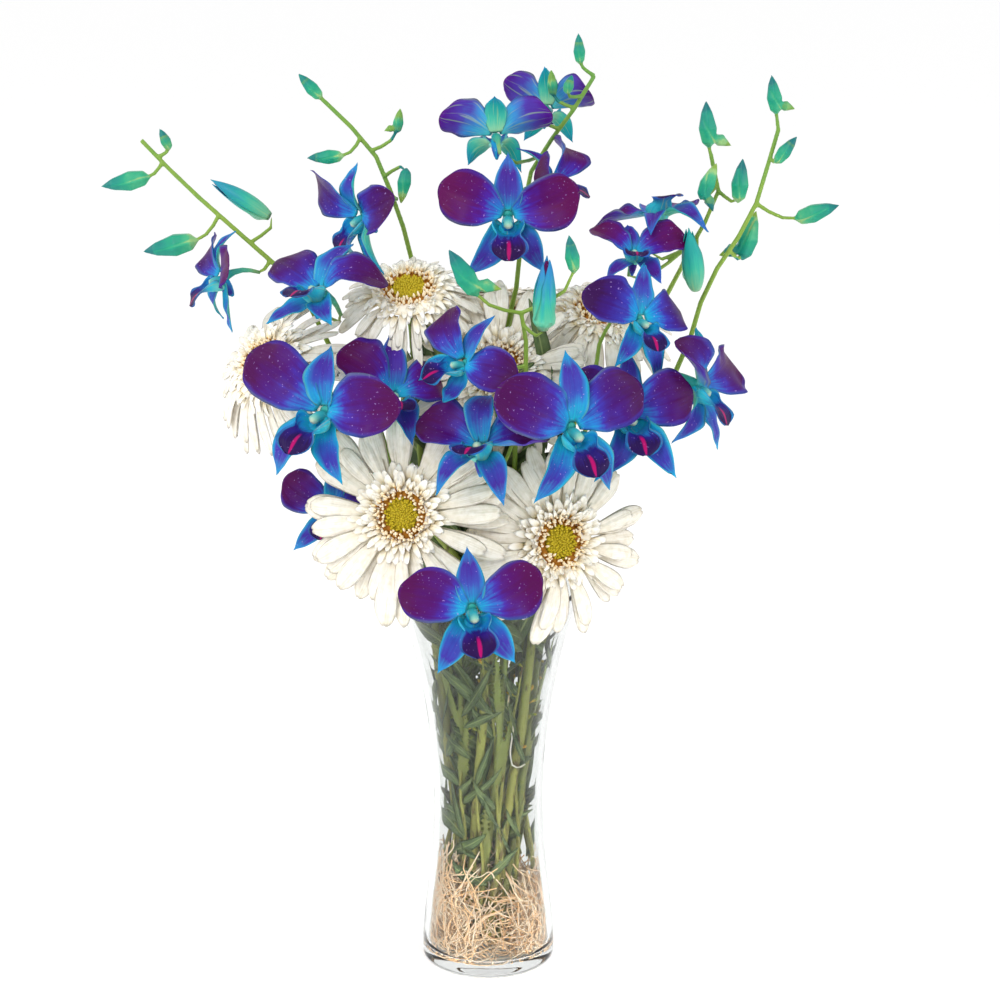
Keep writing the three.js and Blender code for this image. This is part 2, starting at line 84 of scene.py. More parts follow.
# %% [markdown]
# ## Small tools
#
# Colours are written as the hex codes of a paint chart and turned to linear light by one function.
# One function adds a node with its settings and links, in shader and geometry trees alike. A part of
# a mesh is its points, faces, map, side (0 front, 1 back), finish number and extra numbers.

# %% Colours and nodes


def colour(code):
    """An sRGB hex colour as linear RGBA."""
    parts = [int(code[i : i + 2], 16) / 255 for i in (1, 3, 5)]
    return [c / 12.92 if c <= 0.04045 else ((c + 0.055) / 1.055) ** 2.4 for c in parts] + [1.0]


def add(tree, kind, inputs=None, stops=(), **settings):
    """A new node. inputs maps a socket to a value, or to a socket or node that it is linked from."""
    node = tree.nodes.new(kind)
    for name, value in settings.items():
        setattr(node, name, value)
    for name, value in (inputs or {}).items():
        value = value.outputs[0] if isinstance(value, bpy.types.Node) else value
        if isinstance(value, bpy.types.NodeSocket):
            tree.links.new(value, node.inputs[name])
        else:
            node.inputs[name].default_value = value
    while stops and len(node.color_ramp.elements) < len(stops):
        node.color_ramp.elements.new(0.5)
    for element, (spot, code) in zip(node.color_ramp.elements if stops else (), stops):
        element.position = spot
        element.color = colour(code)
    return node


def calc(tree, operation, *values):
    """One step of arithmetic on up to three numbers."""
    return add(tree, "ShaderNodeMath", dict(enumerate(values)), operation=operation)


def vector(tree, operation, *values):
    return add(tree, "ShaderNodeVectorMath", dict(enumerate(values)), operation=operation)


def scaled(tree, value, size):
    return add(tree, "ShaderNodeVectorMath", {0: value, "Scale": size}, operation="SCALE")


def xyz(tree, x=0.0, y=0.0, z=0.0):
    return add(tree, "ShaderNodeCombineXYZ", {0: x, 1: y, 2: z})


def span(tree, value, source=(0.0, 1.0), to=(0.0, 1.0)):
    """Carries a number from one range to another and stops it at the ends."""
    return add(tree, "ShaderNodeMapRange", {0: value, 1: source[0], 2: source[1], 3: to[0], 4: to[1]})


def noise(tree, spot, scale, detail):
    return add(tree, "ShaderNodeTexNoise", {"Vector": spot, "Scale": scale, "Detail": detail})


def ramp(tree, value, stops):
    return add(tree, "ShaderNodeValToRGB", {0: value}, stops=stops)


def relief(tree, height, strength, depth):
    """Bump as deep as depth, in millimetres."""
    return add(tree, "ShaderNodeBump", {"Height": height, "Strength": strength, "Distance": depth * MM})


def blend(tree, share, first, second, way="MIX"):
    """Two colours mixed by a share. A colour is a hex code or what a node gives."""
    first, second = (colour(c) if isinstance(c, str) else c for c in (first, second))
    inputs = {0: share, 6: first, 7: second}
    return add(tree, "ShaderNodeMix", inputs, data_type="RGBA", blend_type=way).outputs[2]


def stored(tree, name):
    """A number that the mesh carries at each of its points."""
    return add(tree, "ShaderNodeAttribute", attribute_name=name).outputs["Fac"]


def from_middle(tree, across):
    """How far a point is from the middle line of its petal or leaf."""
    return calc(tree, "ABSOLUTE", calc(tree, "ADD", across, -0.5))


def grooves(tree, petal_map, stretch, detail):
    """Noise drawn out along the petal."""
    drawn = add(tree, "ShaderNodeMapping", {0: petal_map, "Scale": (*stretch, 1.0)})
    return noise(tree, drawn, 1.0, detail)


def new_finish(name):
    """An empty material and its tree, with the petal map split in along, across, and object space."""
    material = bpy.data.materials.new(name)
    material.use_nodes = True
    tree = material.node_tree
    tree.nodes.clear()
    petal_map = add(tree, "ShaderNodeUVMap", uv_map="petal")
    split = add(tree, "ShaderNodeSeparateXYZ", {0: petal_map})
    real = add(tree, "ShaderNodeTexCoord").outputs["Object"]
    return material, tree, petal_map, split.outputs[0], split.outputs[1], real


def close_finish(tree, base, roughness, normal=None, subsurface=0.0, specular=0.3):
    """The shader and output of a plant finish; flesh under the skin lets light bleed a little."""
    shader = add(tree, "ShaderNodeBsdfPrincipled", {"Base Color": base, "Roughness": roughness})
    if normal:
        tree.links.new(normal.outputs[0], shader.inputs["Normal"])
    shader.inputs["Subsurface Weight"].default_value = subsurface
    shader.inputs["Subsurface Radius"].default_value = (1.0, 0.8, 0.6)
    shader.inputs["Subsurface Scale"].default_value = 1.5 * MM
    shader.inputs["Specular IOR Level"].default_value = specular
    add(tree, "ShaderNodeOutputMaterial", {0: shader})


def toned(name, stops, roughness, subsurface=0.05, specular=0.3, mottle=None, on="along"):
    """A finish of one run of colours. It follows a fine noise given as (scale, detail, share), or
    the petal's length or a stored number, or both together."""
    material, tree, petal_map, along, across, real = new_finish(name)
    level = along if on == "along" else stored(tree, on) if on else None
    if mottle:
        grain = noise(tree, real, *mottle[:2])
        level = calc(tree, "MULTIPLY_ADD", grain, mottle[2], level) if on else grain
    close_finish(tree, ramp(tree, level, stops), roughness, None, subsurface, specular)
    return material


# %% [markdown]
# ## Thin and round shapes
#
# Petals, leaves and lips are all one thing: a sheet whose front and back meet in a thin rim. A sheet
# is given as a grid of points, and the back is the front pushed inwards by a thickness that falls
# away at the border. Buds, ovaries and stamens are lofts: rings of points along a path.

# %% Sheets and lofts


def sheet(grid, thickness, finish=0, **numbers):
    """A closed thin part from a grid of front points, measured in metres."""
    n, m = grid.shape[:2]
    normal = np.cross(np.gradient(grid, axis=0), np.gradient(grid, axis=1))
    normal /= np.linalg.norm(normal, axis=2, keepdims=True) + 1e-12
    edge = 1 - np.abs(np.linspace(-1, 1, m)) ** 4
    back = grid - normal * (thickness * (0.35 + 0.65 * edge))[None, :, None]
    ids = np.arange(n * m).reshape(n, m)
    back_ids = ids.copy()
    back_ids[1:-1, 1:-1] = n * m + np.arange((n - 2) * (m - 2)).reshape(n - 2, m - 2)
    front = np.stack([ids[:-1, :-1], ids[1:, :-1], ids[1:, 1:], ids[:-1, 1:]], -1).reshape(-1, 4)
    rear = np.stack(
        [back_ids[:-1, 1:], back_ids[1:, 1:], back_ids[1:, :-1], back_ids[:-1, :-1]], -1
    ).reshape(-1, 4)
    points = np.concatenate([grid.reshape(-1, 3), back[1:-1, 1:-1].reshape(-1, 3)])
    uv = np.stack(np.meshgrid(np.linspace(0, 1, n), np.linspace(0, 1, m), indexing="ij"), -1)
    uv = np.concatenate([uv.reshape(-1, 2), uv[1:-1, 1:-1].reshape(-1, 2)])
    side = np.zeros(len(points))
    side[n * m :] = 1
    side[ids[[0, -1], :].ravel()] = 0.5
    side[ids[:, [0, -1]].ravel()] = 0.5
    return points, np.concatenate([front, rear]), uv, side, finish, numbers


def tube_faces(rings, sides):
    """The faces of a closed tube of rings, with a fan to a pole at each end."""
    poles = rings * sides
    ids = np.arange(poles).reshape(rings, sides)
    nxt = np.roll(ids, -1, axis=1)
    quads = np.stack([ids[:-1], nxt[:-1], nxt[1:], ids[1:]], -1).reshape(-1, 4)
    first = np.stack([np.full(sides, poles), nxt[0], ids[0], ids[0]], -1)
    last = np.stack([np.full(sides, poles + 1), ids[-1], nxt[-1], nxt[-1]], -1)
    return np.concatenate([quads, first, last])


def loft(path, radii, sides=10, finish=0, flat=1.0, up=(0.31, 0.22, 0.92), **numbers):
    """A closed round part along a path, in metres. flat squeezes it across."""
    path, radii = np.asarray(path, float), np.asarray(radii, float)
    tangent = np.gradient(path, axis=0)
    x = np.cross(tangent, np.asarray(up, float))
    x /= np.linalg.norm(x, axis=1, keepdims=True) + 1e-12
    y = np.cross(tangent / (np.linalg.norm(tangent, axis=1, keepdims=True) + 1e-12), x)
    turn = np.arange(sides) / sides * 2 * np.pi
    ring = x[:, None] * np.cos(turn)[None, :, None] + y[:, None] * (flat * np.sin(turn))[None, :, None]
    body = path[:, None] + ring * radii[:, None, None]
    n = len(path)
    uv = np.stack([np.repeat(np.linspace(0, 1, n), sides), np.tile(np.arange(sides) / sides, n)], -1)
    points = np.concatenate([body.reshape(-1, 3), path[:1], path[-1:]])
    uv = np.concatenate([uv, [[0, 0.5], [1, 0.5]]])
    return points, tube_faces(n, sides), uv, np.zeros(len(points)), finish, numbers


def carried(part, matrix):
    """A part moved by a 4 x 4 matrix."""
    m = np.array(matrix)
    return (part[0] @ m[:3, :3].T + m[:3, 3], *part[1:])


def make_mesh(name, parts, finishes):
    """One mesh from parts, with the petal map, the side and the extra numbers as attributes."""
    starts = np.cumsum([0] + [len(p[0]) for p in parts])
    faces, slots = [], []
    for part, start in zip(parts, starts):
        rows = (part[1] + start).tolist()
        faces += [row[:3] if row[2] == row[3] else row for row in rows]
        slots += [part[4]] * len(rows)
    mesh = bpy.data.meshes.new(name)
    mesh.from_pydata(np.concatenate([p[0] for p in parts]).tolist(), [], faces)
    for finish in finishes:
        mesh.materials.append(finish)
    mesh.polygons.foreach_set("material_index", slots)
    mesh.polygons.foreach_set("use_smooth", [True] * len(faces))
    corner = np.zeros(len(mesh.loops), np.int32)
    mesh.loops.foreach_get("vertex_index", corner)
    layer = mesh.uv_layers.new(name="petal")
    layer.data.foreach_set("uv", np.concatenate([p[2] for p in parts])[corner].astype(np.float32).ravel())
    values = {"side": np.concatenate([p[3] for p in parts])}
    for key in sorted({k for p in parts for k in p[5]}):
        pieces = [np.broadcast_to(np.asarray(p[5].get(key, 0.0), float), (len(p[0]),)) for p in parts]
        values[key] = np.concatenate(pieces)
    for key, value in values.items():
        mesh.attributes.new(key, "FLOAT", "POINT").data.foreach_set("value", value.astype(np.float32))
    mesh.update()
    return mesh


# %% Pieces and the frame's own shapes


def set_down(name, mesh, slot, *replaced):
    """Puts a finished mesh in the scene on the root body, standing for its frame nodes."""
    piece = bpy.data.objects.new(name, mesh)
    bpy.context.scene.collection.objects.link(piece)
    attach(piece, "root")
    if replaced:
        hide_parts(*replaced)
    return piece


def frame_mesh(node):
    """A frame node's shape with its points merged, for measuring or for a copy."""
    shape = bmesh.new()
    shape.from_mesh(cad_nodes[node].data)
    bmesh.ops.remove_doubles(shape, verts=shape.verts, dist=1e-6)
    return shape


def frame_points(node):
    shape = frame_mesh(node)
    points = np.array([v.co for v in shape.verts])
    shape.free()
    return points


def names_like(start="", end=""):
    return sorted(n for n in cad_nodes if n.startswith(start) and n.endswith(end))


def unit(v):
    v = np.asarray(v, float)
    return v / (np.linalg.norm(v) + 1e-12)


# %% Geometry trees and how they are grown


def new_rule(name, **inputs):
    """A geometry tree with named inputs, given as kind="Name, name", and its input node."""
    tree = bpy.data.node_groups.new(name, "GeometryNodeTree")
    for kind_of, names in inputs.items():
        for key in names.split(", "):
            tree.interface.new_socket(key, in_out="INPUT", socket_type="NodeSocket" + kind_of)
    tree.interface.new_socket("Geometry", in_out="OUTPUT", socket_type="NodeSocketGeometry")
    return tree, tree.nodes.new("NodeGroupInput").outputs


def draws(tree, seed, shifts, low=0.0, high=1.0):
    """A random number for every point, one for each shift of the seed."""
    seeds = [calc(tree, "ADD", seed, float(shift)) for shift in shifts]
    settings = dict(data_type="FLOAT")
    kind_of = "FunctionNodeRandomValue"
    return [add(tree, kind_of, {2: low, 3: high, 8: own}, **settings).outputs[1] for own in seeds]


def around(tree, angle, radius, height):
    """A place at an angle and a radius about the upright axis, and at a height."""
    flat = xyz(tree, calc(tree, "COSINE", angle), calc(tree, "SINE", angle))
    return vector(tree, "ADD", scaled(tree, flat, radius), xyz(tree, 0.0, 0.0, height))


def repeat(tree, count, spot, what, rotation, size):
    """Repeats a shape at points. A collection gives each point one of its variants in turn."""
    inputs = {"Points": add(tree, "GeometryNodePoints", {"Count": count, "Position": spot})}
    if what.type == "COLLECTION":
        choice = {"Collection": what, "Separate Children": True, "Reset Children": True}
        what = add(tree, "GeometryNodeCollectionInfo", choice)
        inputs["Pick Instance"] = True
    inputs.update({"Instance": what, "Rotation": rotation, "Scale": size})
    return add(tree, "GeometryNodeInstanceOnPoints", inputs)


def marked(tree, copies, name, value):
    """Stores a number on every copy."""
    inputs = {"Geometry": copies, "Name": name, "Value": value}
    return add(tree, "GeometryNodeStoreNamedAttribute", inputs, data_type="FLOAT", domain="INSTANCE")


def close_rule(tree, geometry, finish):
    whole = add(tree, "GeometryNodeRealizeInstances", {0: geometry})
    finished = add(tree, "GeometryNodeSetMaterial", {"Geometry": whole, "Material": finish})
    add(tree, "NodeGroupOutput", {0: finished})


def grow(tree, name, **values):
    """Runs a tree on a carrier with its inputs set by identifier, and returns a plain mesh."""
    carrier = bpy.data.objects.new(name + "_carrier", bpy.data.meshes.new(name + "_seed"))
    bpy.context.scene.collection.objects.link(carrier)
    modifier = carrier.modifiers.new("rule", "NODES")
    modifier.node_group = tree
    for item in tree.interface.items_tree:
        key = item.name.lower().replace(" ", "_")
        if item.in_out == "INPUT" and key in values:
            modifier[item.identifier] = values[key]
    graph = bpy.context.evaluated_depsgraph_get()
    mesh = bpy.data.meshes.new_from_object(
        carrier.evaluated_get(graph), preserve_all_data_layers=True, depsgraph=graph
    )
    mesh.name = name
    carrier.modifiers.remove(modifier)
    bpy.data.objects.remove(carrier)
    return mesh


def joined(name, meshes):
    """Several plain meshes as one, keeping maps, attributes and finishes."""
    objects = []
    for mesh in meshes:
        objects.append(bpy.data.objects.new(name, mesh))
        bpy.context.scene.collection.objects.link(objects[-1])
    with bpy.context.temp_override(active_object=objects[0], selected_editable_objects=objects):
        bpy.ops.object.join()
    whole = objects[0].data
    whole.name = name
    bpy.data.objects.remove(objects[0])
    return whole


# %% [markdown]
# ## The stage
#
# The bouquet stands on a white sweep in a bright studio. Light comes evenly from everywhere, with a
# large soft box above the front and a smaller one at each side to put a gleam on glass and petals.
# A narrow low one reaches the fibre through the glass.

# %% Camera, lights and floor
scene = bpy.context.scene
scene.view_settings.view_transform = "Standard"

camera_data = bpy.data.cameras.new("camera")
camera_data.lens = 100.8
camera_data.sensor_width = 36
camera = bpy.data.objects.new("camera", camera_data)
scene.collection.objects.link(camera)
aim = Vector((6.1 * MM, 0, 244.6 * MM))
away = Vector((0, -math.cos(math.radians(15)), math.sin(math.radians(15))))
camera.location = aim + 1.4 * away
camera.rotation_euler = away.to_track_quat("Z", "Y").to_euler()
scene.camera = camera

world = bpy.data.worlds.new("white_room")
world.use_nodes = True
room = world.node_tree.nodes["Background"]
room.inputs["Color"].default_value = (1, 1, 1, 1)
room.inputs["Strength"].default_value = 1.0
scene.world = world

for name, spot, aim_height, size, power, spread in (
    ("soft_box_front", (-0.5, -1.3, 1.3), 0.28, 0.8, 12, 180),
    ("soft_box_left", (-1.3, -0.1, 0.7), 0.28, 0.6, 4, 180),
    ("soft_box_right", (1.3, -0.4, 0.6), 0.28, 0.5, 4, 180),
    ("soft_box_low", (0.3, -0.8, 0.06), 0.0, 0.12, 0.65, 24),
):
    lamp_data = bpy.data.lights.new(name, "AREA")
    lamp_data.size = size
    lamp_data.energy = power
    lamp_data.spread = math.radians(spread)
    lamp = bpy.data.objects.new(name, lamp_data)
    lamp.location = spot
    lamp.rotation_euler = (Vector(spot) - Vector((0, 0, aim_height))).to_track_quat("Z", "Y").to_euler()
    scene.collection.objects.link(lamp)

# White paper sweep: matt, so it takes a faint soft shadow and no reflection.
paper_stops = [(0.3, "#FDFDFD"), (0.7, "#FFFFFF")]
paper = toned("white_sweep_paper", paper_stops, 0.9, 0.0, 0.1, (400.0, 2.0), None)

floor_mesh = bpy.data.meshes.new("sweep")
floor_mesh.from_pydata([(-14, -14, 0), (14, -14, 0), (14, 14, 0), (-14, 14, 0)], [], [(0, 1, 2, 3)])
floor_mesh.materials.append(paper)
floor = bpy.data.objects.new("sweep", floor_mesh)
floor.location.z = cad_box[0][2] - 0.2 * MM
scene.collection.objects.link(floor)
print("camera at", [round(c, 3) for c in camera.location])

# %% [markdown]
# ## The vase
#
# A blown soda-lime glass with a waist, a trumpet mouth and a thick base. Its section is read from the
# frame by walking along the wall in the plane y = 0. A smooth line through those points is turned on
# the axis in 96 steps, and foot, floor and lip are rounded as the flame leaves them.

# %% Read the wall and turn it
shape = frame_mesh("vase")
half = {v for v in shape.verts if abs(v.co.y) < 1e-5 and v.co.x > -1e-5}
walk = [min((v for v in half if v.co.x < 1e-5), key=lambda v: v.co.z)]
while True:
    steps = [e.other_vert(walk[-1]) for e in walk[-1].link_edges]
    steps = [v for v in steps if v in half and v not in walk]
    if not steps:
        break
    walk.append(min(steps, key=lambda v: (v.co - walk[-1].co).length))
section = np.array([(v.co.x, v.co.z) for v in walk])
shape.free()
rim = int(section[:, 1].argmax())
outer = np.array([p for p in section[2:rim] if p[0] > 0.01])
inner = np.array([p for p in section[rim + 1 :] if p[1] > section[-1][1] + 1 * MM])
outer_fit = np.polynomial.Polynomial.fit(outer[:, 1], outer[:, 0], 6)
wall = float(np.mean([outer_fit(z) - r for r, z in inner]))
lip, floor_level = float(section[:, 1].max()), float(section[-1][1])


def wall_inside(z):
    """The inner radius of the glass at a height, in metres."""
    return outer_fit(z) - wall


def corner(centre, radius, start, end, steps=6):
    """Points of an arc in the section, in degrees."""
    turn = np.radians(np.linspace(start, end, steps))
    return [(centre[0] + radius * math.cos(a), centre[1] + radius * math.sin(a)) for a in turn]


heel = 3 * MM
round_floor = 5 * MM
half_wall = wall / 2
profile = [(0, 0.6 * MM), (0.02, 0.6 * MM), (0.026, 0.0)]
profile += corner((float(outer_fit(heel)) - heel, heel), heel, -90, 0)
profile += [(float(outer_fit(z)), z) for z in np.linspace(heel * 1.5, lip - half_wall, 60)]
lip_centre = (float(outer_fit(lip - half_wall)) - half_wall, lip - half_wall)
profile += corner(lip_centre, half_wall, 15, 165, 8)
profile += [(float(wall_inside(z)), z) for z in np.linspace(lip - half_wall, floor_level + round_floor, 60)]
bowl = (float(wall_inside(floor_level + round_floor)) - round_floor, floor_level + round_floor)
profile += corner(bowl, round_floor, -15, -90, 7) + [(0.012, floor_level), (0, floor_level)]

turns = 96
a = np.arange(turns) / turns * 2 * np.pi
body = np.array([np.stack([r * np.cos(a), r * np.sin(a), np.full(turns, z)], -1) for r, z in profile[1:-1]])
poles = [(0, 0, profile[0][1]), (0, 0, profile[-1][1])]
points = np.concatenate([body.reshape(-1, 3), poles])
blank = np.zeros(len(points))
glass_part = (points, tube_faces(len(body), turns), np.stack([blank, blank], -1), blank, 0, {})

# Clear soda-lime glass: flame-polished, so it is all but perfectly smooth. Fine waviness of the
# blow shows as a slow bump, a few centimetres long. A white room would veil the stems with its
# reflection, so the tint of the reflection is grey.
glass, tree, petal_map, along, across, real = new_finish("clear_blown_glass")
ripple = noise(tree, real, 45.0, 1.0)
bump = relief(tree, ripple, 0.12, 1.0)
shader = add(tree, "ShaderNodeBsdfPrincipled", {"Normal": bump})
shader.inputs["Base Color"].default_value = colour("#EBEDEC")
shader.inputs["Roughness"].default_value = 0.0
shader.inputs["IOR"].default_value = 1.45
shader.inputs["Specular Tint"].default_value = (0.45, 0.45, 0.45, 1)
shader.inputs["Transmission Weight"].default_value = 1.0
add(tree, "ShaderNodeOutputMaterial", {0: shader})
set_down("glass_vase", make_mesh("glass_vase", [glass_part], [glass]), "clear_glass", "vase")
print("wall", round(wall / MM, 2), "mm, lip at", round(lip / MM, 1), "mm")

# %% [markdown]
# ## Gerbera finishes
#
# Rays are a warm white with fine grooves along them. Petal is thin wet tissue, so a small subsurface
# share lets light through without washing out the shape. The grooves, about a millimetre apart, are
# bump drawn across the petal's own map, and painted shade greys their troughs. The short inner
# florets are creamier towards their feet.

# %% White petal
ray_white, tree, petal_map, along, across, real = new_finish("gerbera_ray_white")
groove = grooves(tree, petal_map, (1.5, 11.0), 3.0)
mottle = noise(tree, real, 320.0, 4.0)
length_tone = ramp(tree, along, [(0.0, "#DED3B8"), (0.22, "#ECE4D3"), (0.6, "#F3EDE2"), (1.0, "#F1EADC")])
# Painted shade: the troughs of the grooves are greyed, on top of their bump.
groove_painted_shade = ramp(tree, groove, [(0.3, "#E2DED2"), (0.55, "#FFFFFF")])
mottle_tone = ramp(tree, mottle, [(0.35, "#E9E6DC"), (0.55, "#FFFFFF")])
tone = blend(tree, 0.7, length_tone, groove_painted_shade, "MULTIPLY")
tone = blend(tree, 0.6, tone, mottle_tone, "MULTIPLY")
height = calc(tree, "MULTIPLY_ADD", mottle, 0.5, groove.outputs[0])
close_finish(tree, tone, 0.55, relief(tree, height, 0.7, 0.6), 0.1)

# %% Cream florets, stamens, disc florets and bracts
floret_cream, tree, petal_map, along, across, real = new_finish("gerbera_floret_cream")
tone = ramp(tree, along, [(0.0, "#E0CC9C"), (0.3, "#F3E6C8"), (0.6, "#FBF4E4"), (1.0, "#FFFBF2")])
groove = grooves(tree, petal_map, (1.5, 5.0), 2.0)
close_finish(tree, tone, 0.5, relief(tree, groove, 0.5, 0.4), 0.12)

# Stamens are orange-brown below, with a cream grain of pollen at the tip.
stops = [(0.0, "#8A5A1C"), (0.45, "#B5771E"), (0.6, "#D09A3A"), (0.68, "#F1D9AC"), (1.0, "#FAECD0")]
stamen_orange = toned("gerbera_stamen_orange", stops, 0.6)

# The disc is packed closed florets: olive yellow, with painted shade darkening them towards their feet,
# where they meet.
stops = [(0.2, "#5E5206"), (0.5, "#857508"), (0.8, "#A3900E"), (1.0, "#BFAA22")]
disc_olive = toned("gerbera_disc_olive_yellow", stops, 0.65, mottle=(500.0, 2.0, 0.5))

# The green cup under the head wears two rows of narrow bracts, like roof tiles.
stops = [(0.0, "#6E8F3C"), (0.7, "#84A64C"), (1.0, "#5C5A3A")]
bract_green = toned("gerbera_bract_green", stops, 0.6)
print("gerbera finishes ready")

# %% [markdown]
# ## Florets
#
# A gerbera head is hundreds of small flowers. Each kind is modelled once or a few times, pointing
# along +X with its face up: the long ray, with a blunt notched tip and shallow channels; the short
# inner strap; the bead-tipped stamen; and the closed disc floret.

# %% Model each kind of floret


def ray(length, width, curl, twist, notch, seed):
    """A ray floret: width changes along it, the tip is blunt and the blade is channelled."""
    chance = np.random.default_rng(seed)
    t = np.linspace(0, 1, 17)[:, None]
    v = np.linspace(-1, 1, 9)[None, :]
    half = 0.5 * width * (0.34 + 0.66 * np.sin(np.clip(t / 0.68, 0, 1) * np.pi / 2) ** 1.3)
    half = half * (1 - 0.42 * np.clip((t - 0.68) / 0.32, 0, 1) ** 2)
    x = length * (t - 0.075 * t**6 * v**2 - notch * t**10 * np.exp(-((v / 0.22) ** 2)))
    side = half * v + 0.02 * length * chance.normal() * t**2
    lift = -0.12 * half * v**2 * 2 + 0.035 * width * np.cos(2.5 * np.pi * v) * np.sin(np.pi * t)
    lift = lift + 0.05 * length * np.sin(np.pi * t) + curl * length * t**3
    lift = lift + twist * half * v * t + 0.02 * width * np.sin(9 * t + 5 * v + seed)
    return np.stack(np.broadcast_arrays(x, side, lift), -1)


def kind(name, shapes, finish):
    """A collection of the variants of one floret or leaf, for a tree to choose from."""
    group = bpy.data.collections.new(name)
    for i, shape in enumerate(shapes):
        label = f"{name}_{i}"
        group.objects.link(bpy.data.objects.new(label, make_mesh(label, [shape], [finish])))
    return group


chance = np.random.default_rng(11)
ray_shapes = []
for i in range(8):
    ranges = ((0.85, 1.1), (-0.14, 0.05), (-0.5, 0.5), (0.0, 0.05))
    wide, curl, twist, notch = (chance.uniform(*ends) for ends in ranges)
    ray_shapes.append(sheet(ray(34 * MM, 10.4 * MM * wide, curl, twist, notch, i), 0.5 * MM))
rays = kind("rays", ray_shapes, ray_white)


def strap(length, width, hook):
    """A short inner floret: a channelled strap whose tip hooks up or down."""
    t = np.linspace(0, 1, 7)[:, None]
    v = np.linspace(-1, 1, 5)[None, :]
    half = 0.5 * width * (0.5 + 0.5 * np.sin(np.clip(t / 0.6, 0, 1) * np.pi / 2))
    half = half * (1 - 0.55 * np.clip((t - 0.6) / 0.4, 0, 1) ** 2)
    x = length * (t - 0.1 * t**6 * v**2) * (1 - 0.15 * abs(hook) * t**3)
    lift = 0.5 * half * v**2 + hook * length * t**3 + 0.08 * length * np.sin(np.pi * t)
    return np.stack(np.broadcast_arrays(x, half * v, lift), -1)


strap_sizes = [(4.3, -0.25), (3.6, 0.15), (4.8, -0.05), (3.9, 0.25), (3.4, -0.35)]
strap_shapes = [sheet(strap(10 * MM, w * MM, hook), 0.4 * MM) for w, hook in strap_sizes]
straps = kind("inner_straps", strap_shapes, floret_cream)

pollen = np.array([0.45, 0.4, 0.4, 0.42, 0.75, 0.95, 0.7, 0.2]) * MM * 0.95
stamen_shapes = []
for bend in (-0.3, 0.1, 0.35):
    path = [(6 * MM * t, 0, bend * 6 * MM * t * t) for t in np.linspace(0, 1, 8)]
    stamen_shapes.append(loft(path, pollen, sides=6))
stamens = kind("stamens", stamen_shapes, stamen_orange)

path = [(2.6 * MM * t, 0, 0) for t in np.linspace(0, 1, 5)]
disc_radii = [(0.5, 0.72, 0.8, 0.6, 0.12), (0.5, 0.65, 0.72, 0.66, 0.25)]
disc_shapes = [loft(path, np.array(radii) * MM, sides=6) for radii in disc_radii]
disc_florets = kind("disc_florets", disc_shapes, disc_olive)

bract_shape = sheet(ray(12 * MM, 3.4 * MM, 0.0, 0.0, 0.0, 3), 0.5 * MM)
bracts = kind("bracts", [bract_shape], bract_green)

# %% [markdown]
# ## The whorl
#
# Florets sit on the head like seeds: each turns 137.5 degrees from the one before, and they fill the
# ring between two radii evenly. One geometry tree does this for rays, straps, stamens, disc florets
# and bracts. Its inputs say how florets lean, stand and shrink from the inner to the outer radius,
# and how the whole head droops, most on the downhill side, before it is carried to its place.

# %% Build the whorl tree
GOLDEN = math.pi * (3 - math.sqrt(5))
whorl, given = new_rule(
    "gerbera_whorl",
    Collection="Florets",
    Int="Count, Seed",
    Float="Inner radius, Outer radius, Inner height, Outer height, Inner lean, Outer lean, "
    "Inner size, Outer size, Spread, Head radius, Droop, Hang",
    Vector="Downhill, Place, Turn",
    Material="Finish",
)
index = add(whorl, "GeometryNodeInputIndex")
share = calc(whorl, "DIVIDE", calc(whorl, "ADD", index, 0.5), given["Count"])
squares = [calc(whorl, "POWER", given[edge + " radius"], 2.0) for edge in ("Inner", "Outer")]
radius = calc(whorl, "POWER", span(whorl, share, to=squares), 0.5)
out = span(whorl, radius, (given["Inner radius"], given["Outer radius"]))


def outwards(what):
    """A size of the row, running from the inner edge to the outer."""
    return span(whorl, out, to=(given["Inner " + what], given["Outer " + what]))


spread = given["Spread"]
shifts = (0, 101, 202, 303, 404)
by_angle, by_lean, by_size, by_roll, tint = draws(whorl, given["Seed"], shifts, -1.0, 1.0)
angle = calc(whorl, "MULTIPLY_ADD", by_angle, spread, calc(whorl, "MULTIPLY", index, GOLDEN))
spot = around(whorl, angle, radius, outwards("height"))
lean = calc(whorl, "MULTIPLY_ADD", by_lean, spread, outwards("lean"))
roll = calc(whorl, "MULTIPLY", by_roll, spread)
rotation = xyz(whorl, roll, calc(whorl, "MULTIPLY", lean, -1.0), angle)
uneven = calc(whorl, "MULTIPLY_ADD", by_size, calc(whorl, "MULTIPLY", spread, 0.8), 1.0)
size = calc(whorl, "MULTIPLY", outwards("size"), uneven)
placed = repeat(whorl, given["Count"], spot, given["Florets"], rotation, size)
real_mesh = add(whorl, "GeometryNodeRealizeInstances", {0: marked(whorl, placed, "tint", tint)})
# The droop falls with the square of the reach, and the hang is added on the downhill side.
plane = vector(whorl, "MULTIPLY", add(whorl, "GeometryNodeInputPosition"), (1.0, 1.0, 0.0))
reach = vector(whorl, "LENGTH", plane).outputs["Value"]
slope = vector(whorl, "DOT_PRODUCT", vector(whorl, "NORMALIZE", plane), given["Downhill"])
slope = calc(whorl, "MAXIMUM", slope.outputs["Value"], 0.0)
depth = calc(whorl, "MULTIPLY_ADD", slope, given["Hang"], given["Droop"])
ratio = calc(whorl, "POWER", calc(whorl, "DIVIDE", reach, given["Head radius"]), 2.0)
fall = calc(whorl, "MULTIPLY", calc(whorl, "MULTIPLY", depth, ratio), -1.0)
drop = xyz(whorl, 0.0, 0.0, fall)
bent = add(whorl, "GeometryNodeSetPosition", {"Geometry": real_mesh, "Offset": drop})
placing = {"Geometry": bent, "Translation": given["Place"], "Rotation": given["Turn"]}
close_rule(whorl, add(whorl, "GeometryNodeTransform", placing), given["Finish"])
print("whorl tree:", len(whorl.nodes), "nodes")

